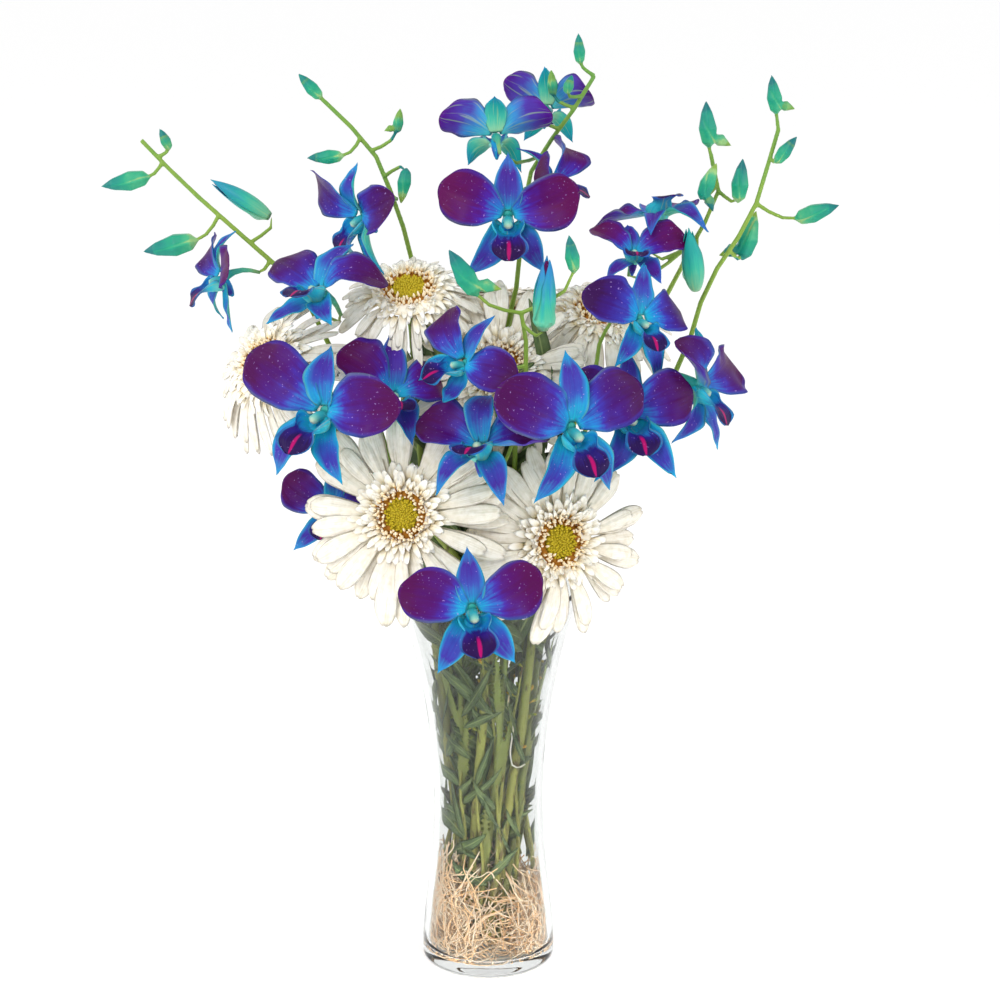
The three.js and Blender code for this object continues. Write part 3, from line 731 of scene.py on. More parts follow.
# %% [markdown]
# ## Seven heads
#
# The frame's disc gives each head's middle and axis: its thinnest direction, pointing away from the
# stem. The tips of the frame's rays give the radius and, by least squares, how far the head droops
# all round and how much further it hangs on the downhill side.

# %% Measure and grow every head


def head_frame(name):
    """Centre, axes, radius, droop, hang and downhill direction of a head, from the frame."""
    disc = frame_points(f"gerbera_{name}_disc")
    middle = disc.mean(axis=0)
    axis = np.linalg.svd(disc - middle)[2][2]
    if np.dot(axis, middle - frame_points(f"gerbera_{name}_stem").mean(axis=0)) < 0:
        axis = -axis
    height = (disc - middle) @ axis
    origin = middle + axis * (height.min() + 1 * MM)
    down = unit(np.array([0, 0, -1.0]) + axis * axis[2])
    tips = frame_points(f"gerbera_{name}_rays") - origin
    high = tips @ axis
    radial = tips - high[:, None] * axis
    reach = np.linalg.norm(radial, axis=1)
    radius = reach.max()
    far = reach > 0.93 * radius
    slope = np.maximum(0, (radial[far] / reach[far, None]) @ down)
    rows = np.stack([np.ones(far.sum()), slope], -1)
    droop, hang = np.linalg.lstsq(rows, -high[far] * (radius / reach[far]) ** 2, rcond=None)[0]
    side = np.cross(down, axis)
    # Local axes: x downhill, y across, z out of the face.
    matrix = Matrix(np.stack([down, -side, axis], -1).tolist())
    return origin, matrix, radius, droop, hang


def turned(heights, radii, finish=0):
    """A round bed for the florets, in millimetres."""
    path = [(0, 0, z * MM) for z in heights]
    return loft(path, np.array(radii) * MM, sides=24, finish=finish, up=(0, 1, 0.001))


def grow_head(name, seed):
    """Grows one head, sets down its rays and disc, and returns the bracts for its stem."""
    origin, matrix, radius, droop, hang = head_frame(name)
    shared = dict(
        place=tuple(origin),
        turn=tuple(matrix.to_euler()),
        head_radius=float(radius),
        droop=float(droop),
        hang=float(hang),
        downhill=(1.0, 0.0, 0.0),
    )

    def row(florets, finish, count, inner, outer, heights, leans, sizes, spread, shift):
        values = dict(florets=florets, finish=finish, count=count, spread=spread, seed=seed + shift)
        radii, leans = (inner * MM, outer * MM), [math.radians(lean) for lean in leans]
        heights = [height * MM for height in heights]
        pairs = dict(radius=radii, height=heights, lean=leans, size=sizes)
        for key, (near, far) in pairs.items():
            values["inner_" + key], values["outer_" + key] = near, far
        return grow(whorl, "row", **values, **shared)

    full = (radius / MM - 17) / 34
    ray_rows = [
        row(rays, ray_white, 21, 16, 17.5, (0.6, 0.6), (2, 2), (full * 0.97,) * 2, 0.14, 1),
        row(rays, ray_white, 21, 14, 16, (2.2, 2.2), (5, 5), (full * 0.9,) * 2, 0.16, 2),
        row(straps, floret_cream, 40, 15.5, 18.5, (2.2, 1.6), (24, 10), (0.85, 0.9), 0.2, 3),
        row(straps, floret_cream, 48, 12.8, 15.5, (3.2, 2.4), (38, 24), (0.74, 0.84), 0.2, 4),
        row(straps, floret_cream, 44, 11.9, 13.4, (3.0, 3.0), (52, 38), (0.5, 0.62), 0.2, 5),
    ]
    bed = turned((-0.8, 0.0, 1.0, 1.6, 1.9, 2.0), (17.0, 18.0, 17.6, 15.5, 12.0, 2.0))
    disc_rows = [
        row(stamens, stamen_orange, 140, 8.3, 11.8, (1.9, 1.9), (86, 62), (0.68, 0.82), 0.22, 6),
        row(disc_florets, disc_olive, 150, 0.0, 8.0, (2.7, 2.3), (90, 82), (0.8, 0.92), 0.14, 7),
    ]
    ring_radii = (9.8, 10.8, 11.6, 11.6, 8.0, 6.0, 4.0, 2.0, 1.0)
    ring_bed = turned((-0.9, -0.6, 0.5, 2.0, 2.2, 2.3, 2.4, 2.5, 2.6), ring_radii)
    cushion = turned((0.0, 2.2, 3.0, 3.5, 3.6), (7.6, 8.1, 7.2, 4.0, 1.0), 1)
    base = Matrix.Translation(Vector(origin)) @ matrix.to_4x4()
    ray_rows.append(make_mesh("bed", [carried(bed, base)], [floret_cream]))
    heart = [carried(part, base) for part in (ring_bed, cushion)]
    disc_rows.append(make_mesh("cushion", heart, [stamen_orange, disc_olive]))
    head = "gerbera_" + name
    whole = (
        ("_ray_florets", ray_rows, "white_petal", "_rays"),
        ("_disc_florets", disc_rows, "yellow_florets", "_disc"),
    )
    for end, meshes, slot, node_end in whole:
        set_down(head + end, joined(head + end, meshes), slot, head + node_end)
    bract_row = row(bracts, bract_green, 34, 4.5, 8.6, (-8.0, -3.6), (58, 30), (0.55, 0.5), 0.08, 8)
    print(name, "radius", round(radius / MM), "droop", round(droop / MM, 1), "hang", round(hang / MM, 1))
    return bract_row


heads = [n.split("_", 1)[1].rsplit("_", 1)[0] for n in names_like("gerbera_", "_disc")]
head_bracts = {name: grow_head(name, 1000 * (i + 1)) for i, name in enumerate(heads)}

# %% [markdown]
# ## Dyed orchid finishes
#
# The orchids are white dendrobiums that have drunk dye through their stalks. The dye follows the
# veins, so each petal runs from turquoise at its foot through violet blue to a deep purple, with a
# brighter rim where it has pooled. The backs of the outer tepals stay turquoise and pale green. One
# function makes the finish for petal, sepal and lip. A bloom's own number, lean, moves it from the
# blue run of colours to the magenta one, because no two blooms drink alike.

# %% Make a dyed finish


def dyed(name, blue, red, rim, rim_red, back, rim_share, gloss, streak=None):
    """A tepal finish: colour runs from foot to tip for a blue and a magenta bloom, rims and back."""
    material, tree, petal_map, along, across, real = new_finish(name)
    # Veins fan out from the foot: noise stretched along the tepal moves the run up and down.
    vein = grooves(tree, petal_map, (1.0, 14.0), 3.0)
    cloud = noise(tree, real, 110.0, 3.0)
    shift = calc(tree, "ADD", calc(tree, "ADD", vein, cloud.outputs[0]), -1.0)
    run = calc(tree, "MULTIPLY_ADD", shift, 0.45, along)
    lean = stored(tree, "lean")
    dye = blend(tree, lean, ramp(tree, run, blue), ramp(tree, run, red))
    # The ragged edges of streak and rim follow the distance from the middle line.
    off = from_middle(tree, across).outputs[0]
    if streak:
        centre = span(tree, calc(tree, "MULTIPLY_ADD", shift, 0.08, off), (0.07, 0.03))
        band = calc(tree, "MULTIPLY", centre, span(tree, along, (0.62, 0.72)))
        dye = blend(tree, band, dye, streak)
    ragged = calc(tree, "MULTIPLY_ADD", shift, 0.16, off)
    edge = span(tree, ragged, (0.5 - rim_share, 0.5))
    rimmed = blend(tree, edge, dye, blend(tree, lean, rim, rim_red))
    # Tiny pale scars where the dye has dried on the skin.
    speck = span(tree, noise(tree, real, 900.0, 1.0), (0.7, 0.78), (0.0, 0.6))
    scarred = blend(tree, speck, rimmed, "#A98BD0")
    vein_line = span(tree, vein, (0.55, 0.62), (0.0, 0.35))
    veined = blend(tree, vein_line, ramp(tree, run, back), "#A9CF86")
    faced = blend(tree, stored(tree, "side"), scarred, veined)
    close_finish(tree, faced, gloss, relief(tree, vein, 0.6, 0.5), 0.03, 0.1)
    return material


# %% Petal, sepal, lip and column
dyed_petal = dyed(
    "orchid_petal_dyed",
    [(0.0, "#14A6C6"), (0.16, "#1E78C0"), (0.32, "#30329C"), (0.55, "#321470"), (0.85, "#300846")],
    [(0.0, "#1E9CC4"), (0.13, "#2C66B8"), (0.27, "#421E94"), (0.44, "#4C0862"), (0.78, "#520548")],
    "#3038A4",
    "#3A1478",
    [(0.0, "#4CC6C6"), (0.3, "#3A86C4"), (0.6, "#4A3AA0"), (0.9, "#4A1480")],
    0.1,
    0.42,
)
dyed_sepal = dyed(
    "orchid_sepal_dyed",
    [(0.0, "#1CB4C4"), (0.22, "#1C92C2"), (0.42, "#2C58B0"), (0.68, "#3A309A"), (0.98, "#0C9AC6")],
    [(0.0, "#22A8C2"), (0.18, "#346CB4"), (0.4, "#452A94"), (0.7, "#43187C"), (0.98, "#2E58B4")],
    "#0AA2CC",
    "#2E62BE",
    [(0.0, "#8FC49A"), (0.3, "#45B49C"), (0.65, "#1FA09E"), (0.98, "#1488B0")],
    0.2,
    0.45,
)
dyed_lip = dyed(
    "orchid_lip_dyed",
    [(0.0, "#1A7C64"), (0.2, "#1FA0AE"), (0.42, "#1A86C4"), (0.56, "#22207C"), (0.8, "#1C0846")],
    [(0.0, "#1A7C64"), (0.2, "#1E98B0"), (0.42, "#1F78BE"), (0.56, "#2A1270"), (0.8, "#240642")],
    "#0E94C8",
    "#1E6EC4",
    [(0.0, "#8FD8B8"), (0.4, "#2FB4C4"), (0.75, "#3A2A90"), (0.95, "#2C1470")],
    0.09,
    0.4,
    streak="#A0045C",
)
# The column is the pale waxy finger at the heart, palest at its cap of pollen.
stops = [(0.0, "#1A8A96"), (0.5, "#33A0A6"), (0.8, "#74B4A4"), (1.0, "#C4CFB4")]
column_wax = toned("orchid_column_wax", stops, 0.35, 0.15)
# The ovary behind a bloom and its stalk are green that the dye has turned to turquoise.
stops = [(0.25, "#7A9A58"), (0.6, "#4AA07C"), (1.0, "#229890")]
ovary_teal = toned("orchid_ovary_teal", stops, 0.45, 0.06, mottle=(260.0, 3.0, 0.6))
tepal_finishes = [dyed_petal, dyed_sepal, dyed_lip, column_wax, ovary_teal]
print("tepal finishes:", ", ".join(f.name for f in tepal_finishes))

# %% [markdown]
# ## An orchid bloom
#
# A dendrobium has three narrow sepals, two broad petals and a lip. The tepals are sheets along a
# bowed middle line. The petals are broad and rounded with a waved margin, and the sepals are lances
# whose tips curl back. The two lower sepals join behind the lip in a blunt spur, the chin. The lip
# is one sheet too: its side lobes stand up round the column, it narrows to a neck, and its middle
# lobe opens as a frilled tongue. The numbers are millimetres on a bloom 68 wide, in the order side,
# facing, up, from the foot of the ovary. Each bloom bends and waves a little differently.

# %% Shape of a tepal


def eased(values, rounds):
    """A run of numbers or points smoothed between its two ends."""
    for _ in range(rounds):
        values[1:-1] = 0.25 * values[:-2] + 0.5 * values[1:-1] + 0.25 * values[2:]
    return values


def tepal(root, tip, width, outline, bow, recurve, cup, wave, twist, facing, seed, rows=23, columns=13):
    """A tepal as a grid. outline gives the half width along it, as (place, share) pairs."""
    chance = np.random.default_rng(seed)
    root, tip = np.asarray(root, float), np.asarray(tip, float)
    line = tip - root
    length = np.linalg.norm(line)
    ahead = line / length
    out = np.asarray(facing, float)
    out = unit(out - ahead * (out @ ahead))
    side = np.cross(out, ahead)
    t = np.linspace(0, 1, rows)[:, None]
    v = np.linspace(-1, 1, columns)[None, :]
    places, shares = zip(*outline)
    # Easing between the outline's points keeps the margin free of corners.
    half = (0.5 * width * eased(np.interp(t[:, 0], places, shares), 2))[:, None]
    phase = chance.uniform(0, 6.28, 3)
    waves = np.sin(9 * t + phase[0] + 1.5 * v) + 0.6 * np.sin(17 * t + phase[1] - 2 * v)
    lift = bow * np.sin(np.pi * t**0.9) + recurve * t**3 + cup * half * v**2
    lift = lift + wave * width * waves * v**2 * np.sin(np.pi * np.clip(t, 0.08, 0.95))
    lift = lift - 0.05 * width * np.exp(-((v / 0.12) ** 2)) * np.sin(np.pi * t)
    sway = chance.normal() * 0.04 * length * np.sin(np.pi * t)
    ahead_by = length * t - 0.1 * width * v**2 * t**5
    turned = twist * t
    lift, offset = lift + half * v * np.sin(turned), half * v * np.cos(turned) + sway
    return root + ahead * ahead_by[..., None] + side * offset[..., None] + out * lift[..., None]


petal_outline = [(0, 0.2), (0.1, 0.42), (0.28, 0.84), (0.5, 1.03)]
petal_outline += [(0.7, 1.04), (0.86, 0.87), (0.95, 0.68), (1, 0.5)]
sepal_outline = [(0, 0.5), (0.15, 0.86), (0.4, 1.02), (0.62, 0.86), (0.82, 0.5), (0.94, 0.2), (1, 0.04)]


def lip_grid(seed, rows=31, columns=17):
    """The lip: side lobes rolled up round the column, a neck, and a frilled middle lobe."""
    chance = np.random.default_rng(seed)
    t = np.linspace(0, 1, rows)
    v = np.linspace(1, -1, columns)[None, :]
    path = [(0, 17, -11), (0, 22, -14), (0, 28, -15), (0, 33.5, -16), (0, 37.5, -19.5), (0, 39.5, -26)]
    path = np.array(path, float)
    spots = np.linspace(0, 1, len(path))
    middle = eased(np.stack([np.interp(t, spots, path[:, k]) for k in range(3)], -1), 4)
    ahead = np.gradient(middle, axis=0)
    ahead /= np.linalg.norm(ahead, axis=1, keepdims=True)
    side = np.array([1.0, 0, 0])
    up = np.cross(side, ahead)
    places = [0, 0.15, 0.34, 0.48, 0.56, 0.7, 0.85, 0.95, 1]
    half = np.interp(t, places, [2.5, 7.5, 12.8, 10.4, 5.6, 9.0, 9.8, 6.4, 1.8])
    roll = np.interp(t, [0, 0.3, 0.5, 0.62, 0.75, 1], [1.5, 1.75, 1.3, 0.7, 0.25, -0.5])
    half, roll = eased(half, 2)[:, None], eased(roll, 2)[:, None]
    # Across, the sheet is an arc of the given roll; a roll of zero would be flat.
    bend = np.where(np.abs(roll) < 0.05, 0.05, roll)
    across = half * np.sin(bend * v) / bend
    rise = half * (1 - np.cos(bend * v)) / bend
    phase = chance.uniform(0, 6.28)
    frill = 0.9 * np.sin(14 * t[:, None] + 7 * np.abs(v) + phase) * v**4
    frill = frill * np.clip((t[:, None] - 0.5) * 4, 0.25, 1)
    keel = 0.5 * np.exp(-((v / 0.1) ** 2)) * np.sin(np.pi * np.clip(t[:, None] * 1.25, 0, 1))
    return middle[:, None] + side * across[..., None] + up[:, None] * (rise + frill + keel)[..., None]


# %% A whole bloom


def bloom_parts(seed, petal_lean, sepal_lean, loose):
    """The parts of one bloom 68 mm wide, in millimetres. loose says how floppy its tepals are."""
    chance = np.random.default_rng(seed)
    facing = (0, 1, 0)
    parts = []

    def blade(root, tip, width, outline, bow, recurve, cup, wave, finish, lean):
        tip = np.array(tip) + chance.normal(0, 1, 3) * (0.8 + 2.2 * loose) * (1, 1.4, 1)
        bow, recurve = bow + 3.0 * loose * chance.normal(), recurve + 4.0 * loose * chance.normal()
        cup, twist = cup + 0.25 * loose * chance.normal(), (0.08 + 0.4 * loose) * chance.normal()
        wave = wave * (1 + 0.8 * loose)
        lean = float(np.clip(lean + 0.12 * chance.normal(), 0, 1))
        own = chance.integers(1 << 30)
        grid = tepal(root, tip, width, outline, bow, recurve, cup, wave, twist, facing, own)
        parts.append(sheet(grid, 0.8, finish, lean=lean))

    # Bow, recurve, cup, wave and finish of the two petals and the two lower sepals.
    petal, sepal = (3.2, -1.5, 0.22, 0.035, 0), (3.0, -4, 0.35, 0.03, 1)
    for sign in (-1, 1):
        root, tip = (2.2 * sign, 23.5, -4), (33.5 * sign, 27, 9)
        blade(root, tip, 26, petal_outline, *petal, petal_lean)
    for sign in (-1, 1):
        root, tip = (2.6 * sign, 20.5, -9), (18 * sign, 26, -33)
        blade(root, tip, 14, sepal_outline, *sepal, sepal_lean)
    blade((0, 22.5, -3), (0, 24, 25), 14.5, sepal_outline, 3.0, -3.0, 0.3, 0.03, 1, sepal_lean + 0.25)
    parts.append(sheet(lip_grid(seed + 12), 0.7, 2, lean=petal_lean))
    column = [(0, 20, -8), (0, 22.6, -7.5), (0, 25, -7.9), (0, 26.9, -8.8), (0, 28.2, -10), (0, 28.8, -11)]
    parts.append(loft(column, [2.2, 2.7, 2.4, 2.2, 2.3, 0.9], 10, 3, up=(1, 0, 0)))
    ovary = [(0, -1, 0), (0, 5, 0.6), (0, 10, 0.2), (0, 15, -1.6), (0, 19, -4), (0, 22, -5.5)]
    parts.append(loft(ovary, [1.1, 1.3, 1.6, 2.0, 3.0, 2.4], 10, 4, up=(1, 0, 0)))
    chin = [(0, 23, -7), (0, 20.5, -9.5), (0, 17.5, -12.5), (0, 15, -15), (0, 13.4, -16.6)]
    parts.append(loft(chin, [3.6, 4.3, 3.6, 2.3, 0.9], 12, 1, flat=0.75, up=(1, 0, 0), lean=sepal_lean))
    return parts


def axes_matrix(x, y, z, origin, scale=1.0):
    """The 4 x 4 matrix that sets a shape down on three axes."""
    rows = [(x[k] * scale, y[k] * scale, z[k] * scale, origin[k]) for k in range(3)]
    return Matrix([*rows, (0, 0, 0, 1)])


def bloom_frame(node, stalk):
    """The matrix that carries a bloom in millimetres to its place, recovered from the frame."""
    points = frame_points(node)
    gaps = np.linalg.norm(points[:, None] - points[None], axis=2)
    a, b = np.unravel_index(gaps.argmax(), gaps.shape)
    width = gaps[a, b]
    middle = (points[a] + points[b]) / 2
    near = np.linalg.norm(points[:, None] - frame_points(stalk)[None], axis=2).min(axis=1)
    foot_point = points[near.argmin()]
    foot = points[np.linalg.norm(points - foot_point, axis=1) < 1.5 * MM].mean(axis=0)
    back = unit(foot - middle)
    x = unit(points[b] - points[a])
    c, s = 29 / math.hypot(29, 9), 9 / math.hypot(29, 9)
    for sign in (1, -1):
        x = x * sign
        normal = unit(np.cross(x, back))
        y = -c * back + s * normal
        z = -s * back - c * normal
        heights = (points - foot) @ z
        if abs(heights.min()) > abs(heights.max()):
            break
    scale = width / 68
    return axes_matrix(x, y, z, foot, scale)


# %% [markdown]
# Each bloom's dye is set by two numbers from 0, blue, to 1, magenta: one for the petals and lip and
# one for the sepals. Blooms higher on a spray, and those nearest the cut end of a deeply dyed stem,
# lean to purple.

# %% Grow every bloom
# Each entry: petal lean, sepal lean, how loose the tepals hang, and the bloom's size beside the frame's.
blooms = {
    "left_bloom_1": (0.6, 0.1, 0.8, 1.0),
    "left_bloom_2": (0.3, 0.1, 0.8, 1.08),
    "left_centre_bloom_1": (0.3, 0.25, 0.7, 1.05),
    "top_bloom_1": (0.7, 0.1, 0.4, 1.0),
    "top_bloom_2": (0.85, 0.2, 0.5, 1.0),
    "top_bloom_3": (1.0, 0.9, 0.8, 1.0),
    "top_bloom_4": (1.0, 0.55, 0.25, 1.0),
    "centre_bloom_1": (0.35, 0.3, 0.8, 0.9),
    "centre_bloom_2": (0.75, 0.3, 0.9, 1.05),
    "centre_bloom_3": (0.85, 0.25, 0.0, 1.0),
    "right_bloom_1": (0.4, 0.2, 0.9, 1.1),
    "right_centre_bloom_1": (0.95, 0.8, 0.8, 1.0),
    "right_centre_bloom_2": (1.0, 0.95, 0.8, 1.05),
    "front_left_bloom_1": (0.4, 0.15, 0.7, 1.15),
    "front_left_bloom_2": (0.9, 0.7, 0.9, 1.15),
    "front_left_bloom_3": (0.4, 0.2, 0.5, 1.0),
    "front_right_bloom_1": (0.4, 0.2, 0.7, 1.15),
    "front_right_bloom_2": (0.35, 0.05, 0.8, 1.15),
    "front_right_bloom_3": (0.25, 0.05, 0.8, 0.95),
}
for i, (name, (petal_lean, sepal_lean, loose, size)) in enumerate(blooms.items()):
    node = "orchid_" + name
    matrix = bloom_frame(node, "orchid_" + name.rsplit("_bloom", 1)[0] + "_stem")
    matrix = matrix @ Matrix.Diagonal((size, size, size, 1))
    parts = [carried(p, matrix) for p in bloom_parts(100 * i + 7, petal_lean, sepal_lean, loose)]
    mesh = make_mesh(node + "_flower", parts, tepal_finishes)
    set_down(node + "_flower", mesh, "dyed_orchid_petal", node)
print(len(blooms), "blooms of", len(mesh.polygons), "faces each")

# %% [markdown]
# ## Stems, sprays and buds
#
# Stalks grow into each other with soft joints, which separate tubes can't show. So each spray and
# each stem starts as a copy of the frame's solid, which is voxel remeshed and smoothed into one
# skin. Where the skin is thick, above the glass, it is a bud: the skin there is grooved along
# three seams, where the sepals meet, and two numbers are stored for the finish, bud and bud_run.

# %% Stalk and bud finishes
stalk_green, tree, petal_map, along, across, real = new_finish("orchid_stalk_and_bud_green")
high = add(tree, "ShaderNodeSeparateXYZ", {0: real}).outputs[2]
cloud = noise(tree, real, 150.0, 5.0)
shift = calc(tree, "ADD", cloud, -0.5)
level = calc(tree, "MULTIPLY_ADD", shift, 0.25, span(tree, high, (0.02, 0.46)).outputs[0])
stops = [(0.0, "#77763A"), (0.25, "#828C46"), (0.48, "#7A9638"), (0.8, "#7F9C3C"), (1.0, "#5F8E3C")]
stalk = ramp(tree, level, stops)
run = calc(tree, "MULTIPLY_ADD", shift, 0.9, stored(tree, "bud_run"))
stops = [(0.0, "#86B070"), (0.16, "#3A9F72"), (0.4, "#12906E"), (0.7, "#078070"), (1.0, "#046668")]
both = blend(tree, stored(tree, "bud"), stalk, ramp(tree, run, stops))
close_finish(tree, both, 0.42, relief(tree, cloud, 0.25, 0.5), 0.06)

# Cut gerbera stems are downy and dull, olive in the vase, with brown scars where leaves rubbed.
stem_olive, tree, petal_map, along, across, real = new_finish("gerbera_stem_olive")
high = add(tree, "ShaderNodeSeparateXYZ", {0: real}).outputs[2]
stops = [(0.0, "#8A8440"), (0.3, "#98994C"), (0.7, "#8FA04A"), (1.0, "#85A048")]
stalk = ramp(tree, span(tree, high, (0.01, 0.34)), stops)
drawn = add(tree, "ShaderNodeMapping", {0: real, "Scale": (1.0, 1.0, 0.3)})
scar = noise(tree, drawn, 300.0, 4.0)
scarred = blend(tree, span(tree, scar, (0.56, 0.64), (0.0, 0.85)), stalk, "#57432C")
close_finish(tree, scarred, 0.6, relief(tree, scar, 0.4, 0.5), 0.03)

# %% Remesh a stem or spray into one skin


def skin(node, voxel=0.55 * MM, rounds=4):
    """The frame's solid as a smooth closed skin."""
    shape = frame_mesh(node)
    mesh = bpy.data.meshes.new(node + "_skin")
    shape.to_mesh(mesh)
    shape.free()
    carrier = bpy.data.objects.new(node, mesh)
    bpy.context.scene.collection.objects.link(carrier)
    modifier = carrier.modifiers.new("skin", "REMESH")
    modifier.mode = "VOXEL"
    modifier.voxel_size = voxel
    smoothing = carrier.modifiers.new("smooth", "SMOOTH")
    smoothing.factor = 0.5
    smoothing.iterations = rounds
    graph = bpy.context.evaluated_depsgraph_get()
    result = bpy.data.meshes.new_from_object(carrier.evaluated_get(graph), depsgraph=graph)
    bpy.data.objects.remove(carrier)
    result.name = node + "_skin"
    result.materials.clear()
    result.polygons.foreach_set("use_smooth", [True] * len(result.polygons))
    return result


def mesh_arrays(mesh):
    points = np.zeros(len(mesh.vertices) * 3)
    normals = np.zeros(len(mesh.vertices) * 3)
    mesh.vertices.foreach_get("co", points)
    mesh.vertices.foreach_get("normal", normals)
    edges = np.zeros(len(mesh.edges) * 2, np.int32)
    mesh.edges.foreach_get("vertices", edges)
    return points.reshape(-1, 3), normals.reshape(-1, 3), edges.reshape(-1, 2)


def groups_of(chosen, edges):
    """Connected groups of the chosen points, as a label for each point."""
    label = np.where(chosen, np.arange(len(chosen)), -1)
    inside = edges[chosen[edges[:, 0]] & chosen[edges[:, 1]]]
    while True:
        low = np.minimum(label[inside[:, 0]], label[inside[:, 1]])
        before = label.copy()
        np.minimum.at(label, inside[:, 0], low)
        np.minimum.at(label, inside[:, 1], low)
        label = np.where(label >= 0, label[label], -1)
        if (label == before).all():
            return label


def carve_buds(mesh, lowest):
    """Finds buds by thickness, grooves their seams and stores bud and bud_run."""
    points, normals, edges = mesh_arrays(mesh)
    tree = BVHTree.FromPolygons([tuple(p) for p in points], [tuple(p.vertices) for p in mesh.polygons])
    thick = np.zeros(len(points))
    for i in np.nonzero(points[:, 2] > lowest)[0]:
        hit = tree.ray_cast(Vector(points[i] - normals[i] * 0.1 * MM), Vector(-normals[i]))
        thick[i] = hit[3] if hit[3] else 0
    for _ in range(3):
        total, count = thick.copy(), np.ones(len(points))
        np.add.at(total, edges[:, 0], thick[edges[:, 1]])
        np.add.at(total, edges[:, 1], thick[edges[:, 0]])
        np.add.at(count, edges[:, 0], 1)
        np.add.at(count, edges[:, 1], 1)
        thick = total / count
    label = groups_of(thick > 3.9 * MM, edges)
    bud, bud_run = np.zeros(len(points)), np.zeros(len(points))
    found = 0
    for number in np.unique(label[label >= 0]):
        chosen = label == number
        if chosen.sum() < 150:
            continue
        found += 1
        part = points[chosen]
        middle = part.mean(axis=0)
        axis = np.linalg.svd(part - middle, full_matrices=False)[2][0]
        reach = (part - middle) @ axis
        # The stalk goes on past the foot of the bud, and nothing goes on past its tip.
        ends = (reach.min() - 9 * MM, reach.max() + 9 * MM)
        past = [middle + axis * end for end in ends]
        more = [(np.linalg.norm(points - spot, axis=1) < 5 * MM).sum() for spot in past]
        axis = axis if more[0] > more[1] else -axis
        reach = (part - middle) @ axis
        length = reach.max() - reach.min()
        foot = middle + axis * reach.min()
        x = unit(np.cross(axis, (0.3, 1, 0.1)))
        y = np.cross(axis, x)
        rel = part - foot
        run = np.clip(rel @ axis / length, 0, 1)
        angle = np.arctan2(rel @ y, rel @ x)
        seam = np.exp(-((np.sin(1.5 * (angle + 0.9 * run)) / 0.22) ** 2))
        depth = 0.45 * MM * seam * np.sin(np.pi * np.clip(run * 1.1, 0, 1))
        points[chosen] -= normals[chosen] * depth[:, None]
        bud[chosen] = np.clip((thick[chosen] / MM - 3.9) / 1.2, 0, 1)
        bud_run[chosen] = run * 0.9 - 0.25 * seam
        tip = foot + axis * length
        at_tip = (np.linalg.norm(points - tip, axis=1) < 5 * MM) & ((points - foot) @ axis > 0.9 * length)
        bud[at_tip], bud_run[at_tip] = 1.0, 0.95
    mesh.vertices.foreach_set("co", points.ravel())
    for key, value in (("bud", bud), ("bud_run", bud_run)):
        mesh.attributes.new(key, "FLOAT", "POINT").data.foreach_set("value", value.astype(np.float32))
    mesh.update()
    return found


# %% Sprays and gerbera stems
for node in names_like("orchid_", "_stem"):
    mesh = skin(node)
    count = carve_buds(mesh, 0.3)
    mesh.materials.append(stalk_green)
    set_down(node + "_skin", mesh, "stem_green", node)
    print(node, len(mesh.polygons), "faces,", count, "buds")
for name in heads:
    node = f"gerbera_{name}_stem"
    mesh = skin(node, 0.8 * MM, 3)
    mesh.materials.append(stem_olive)
    mesh = joined(node + "_skin", [mesh, head_bracts[name]])
    set_down(node + "_skin", mesh, "stem_green", node)

# %% [markdown]
# ## Opening buds
#
# The biggest buds are about to open: three sepals still clasp each other but their tips part and
# show the purple inside, and the two lower ones bulge into the chin. Each sepal is a sheet wrapped
# a third of the way round the bud, overlapping its neighbour, over a rolled purple core.

# %% Wrap the sepals
opening_teal, tree, petal_map, along, across, real = new_finish("orchid_opening_bud_teal")
vein = grooves(tree, petal_map, (1.2, 9.0), 3.0)
level = calc(tree, "MULTIPLY_ADD", vein, 0.8, along)
tone = ramp(tree, level, [(0.2, "#9FBC7C"), (0.5, "#66B08A"), (0.8, "#2BA68C"), (1.0, "#149488")])
dyed_share = span(tree, level, (0.75, 1.25), (0.0, stored(tree, "lean")))
tone = blend(tree, dyed_share, tone, "#1474B4")
close_finish(tree, tone, 0.42, relief(tree, vein, 0.5, 0.5), 0.06)


def wrapped(length, width, turn, span, reach, chin_way, chin_size, flare, inset):
    """A sepal clasping a bud that stands along +Z from its foot."""
    t = np.linspace(0, 1, 23)[:, None]
    v = np.linspace(-1, 1, 11)[None, :]
    girth = 0.5 * width * np.sin(np.pi * np.clip(0.06 + 0.9 * t, 0, 1) ** 0.8) ** 0.75
    taper = np.interp(t[:, 0], [0, 0.6, 0.85, 1], [1, 1, 0.6, 0.12])[:, None]
    angle = turn + span * v * taper
    r = girth * (inset + 0.04 * v) + flare * width * np.clip(t - 0.7, 0, 1) ** 2 * 6
    bulge = np.maximum(0, np.cos(angle - chin_way)) ** 3 * np.exp(-(((t - 0.2) / 0.13) ** 2))
    r = r + chin_size * bulge
    z = length * (t * reach)
    z = z - chin_size * 0.35 * bulge
    return np.stack(np.broadcast_arrays(r * np.cos(angle), r * np.sin(angle), z), -1)


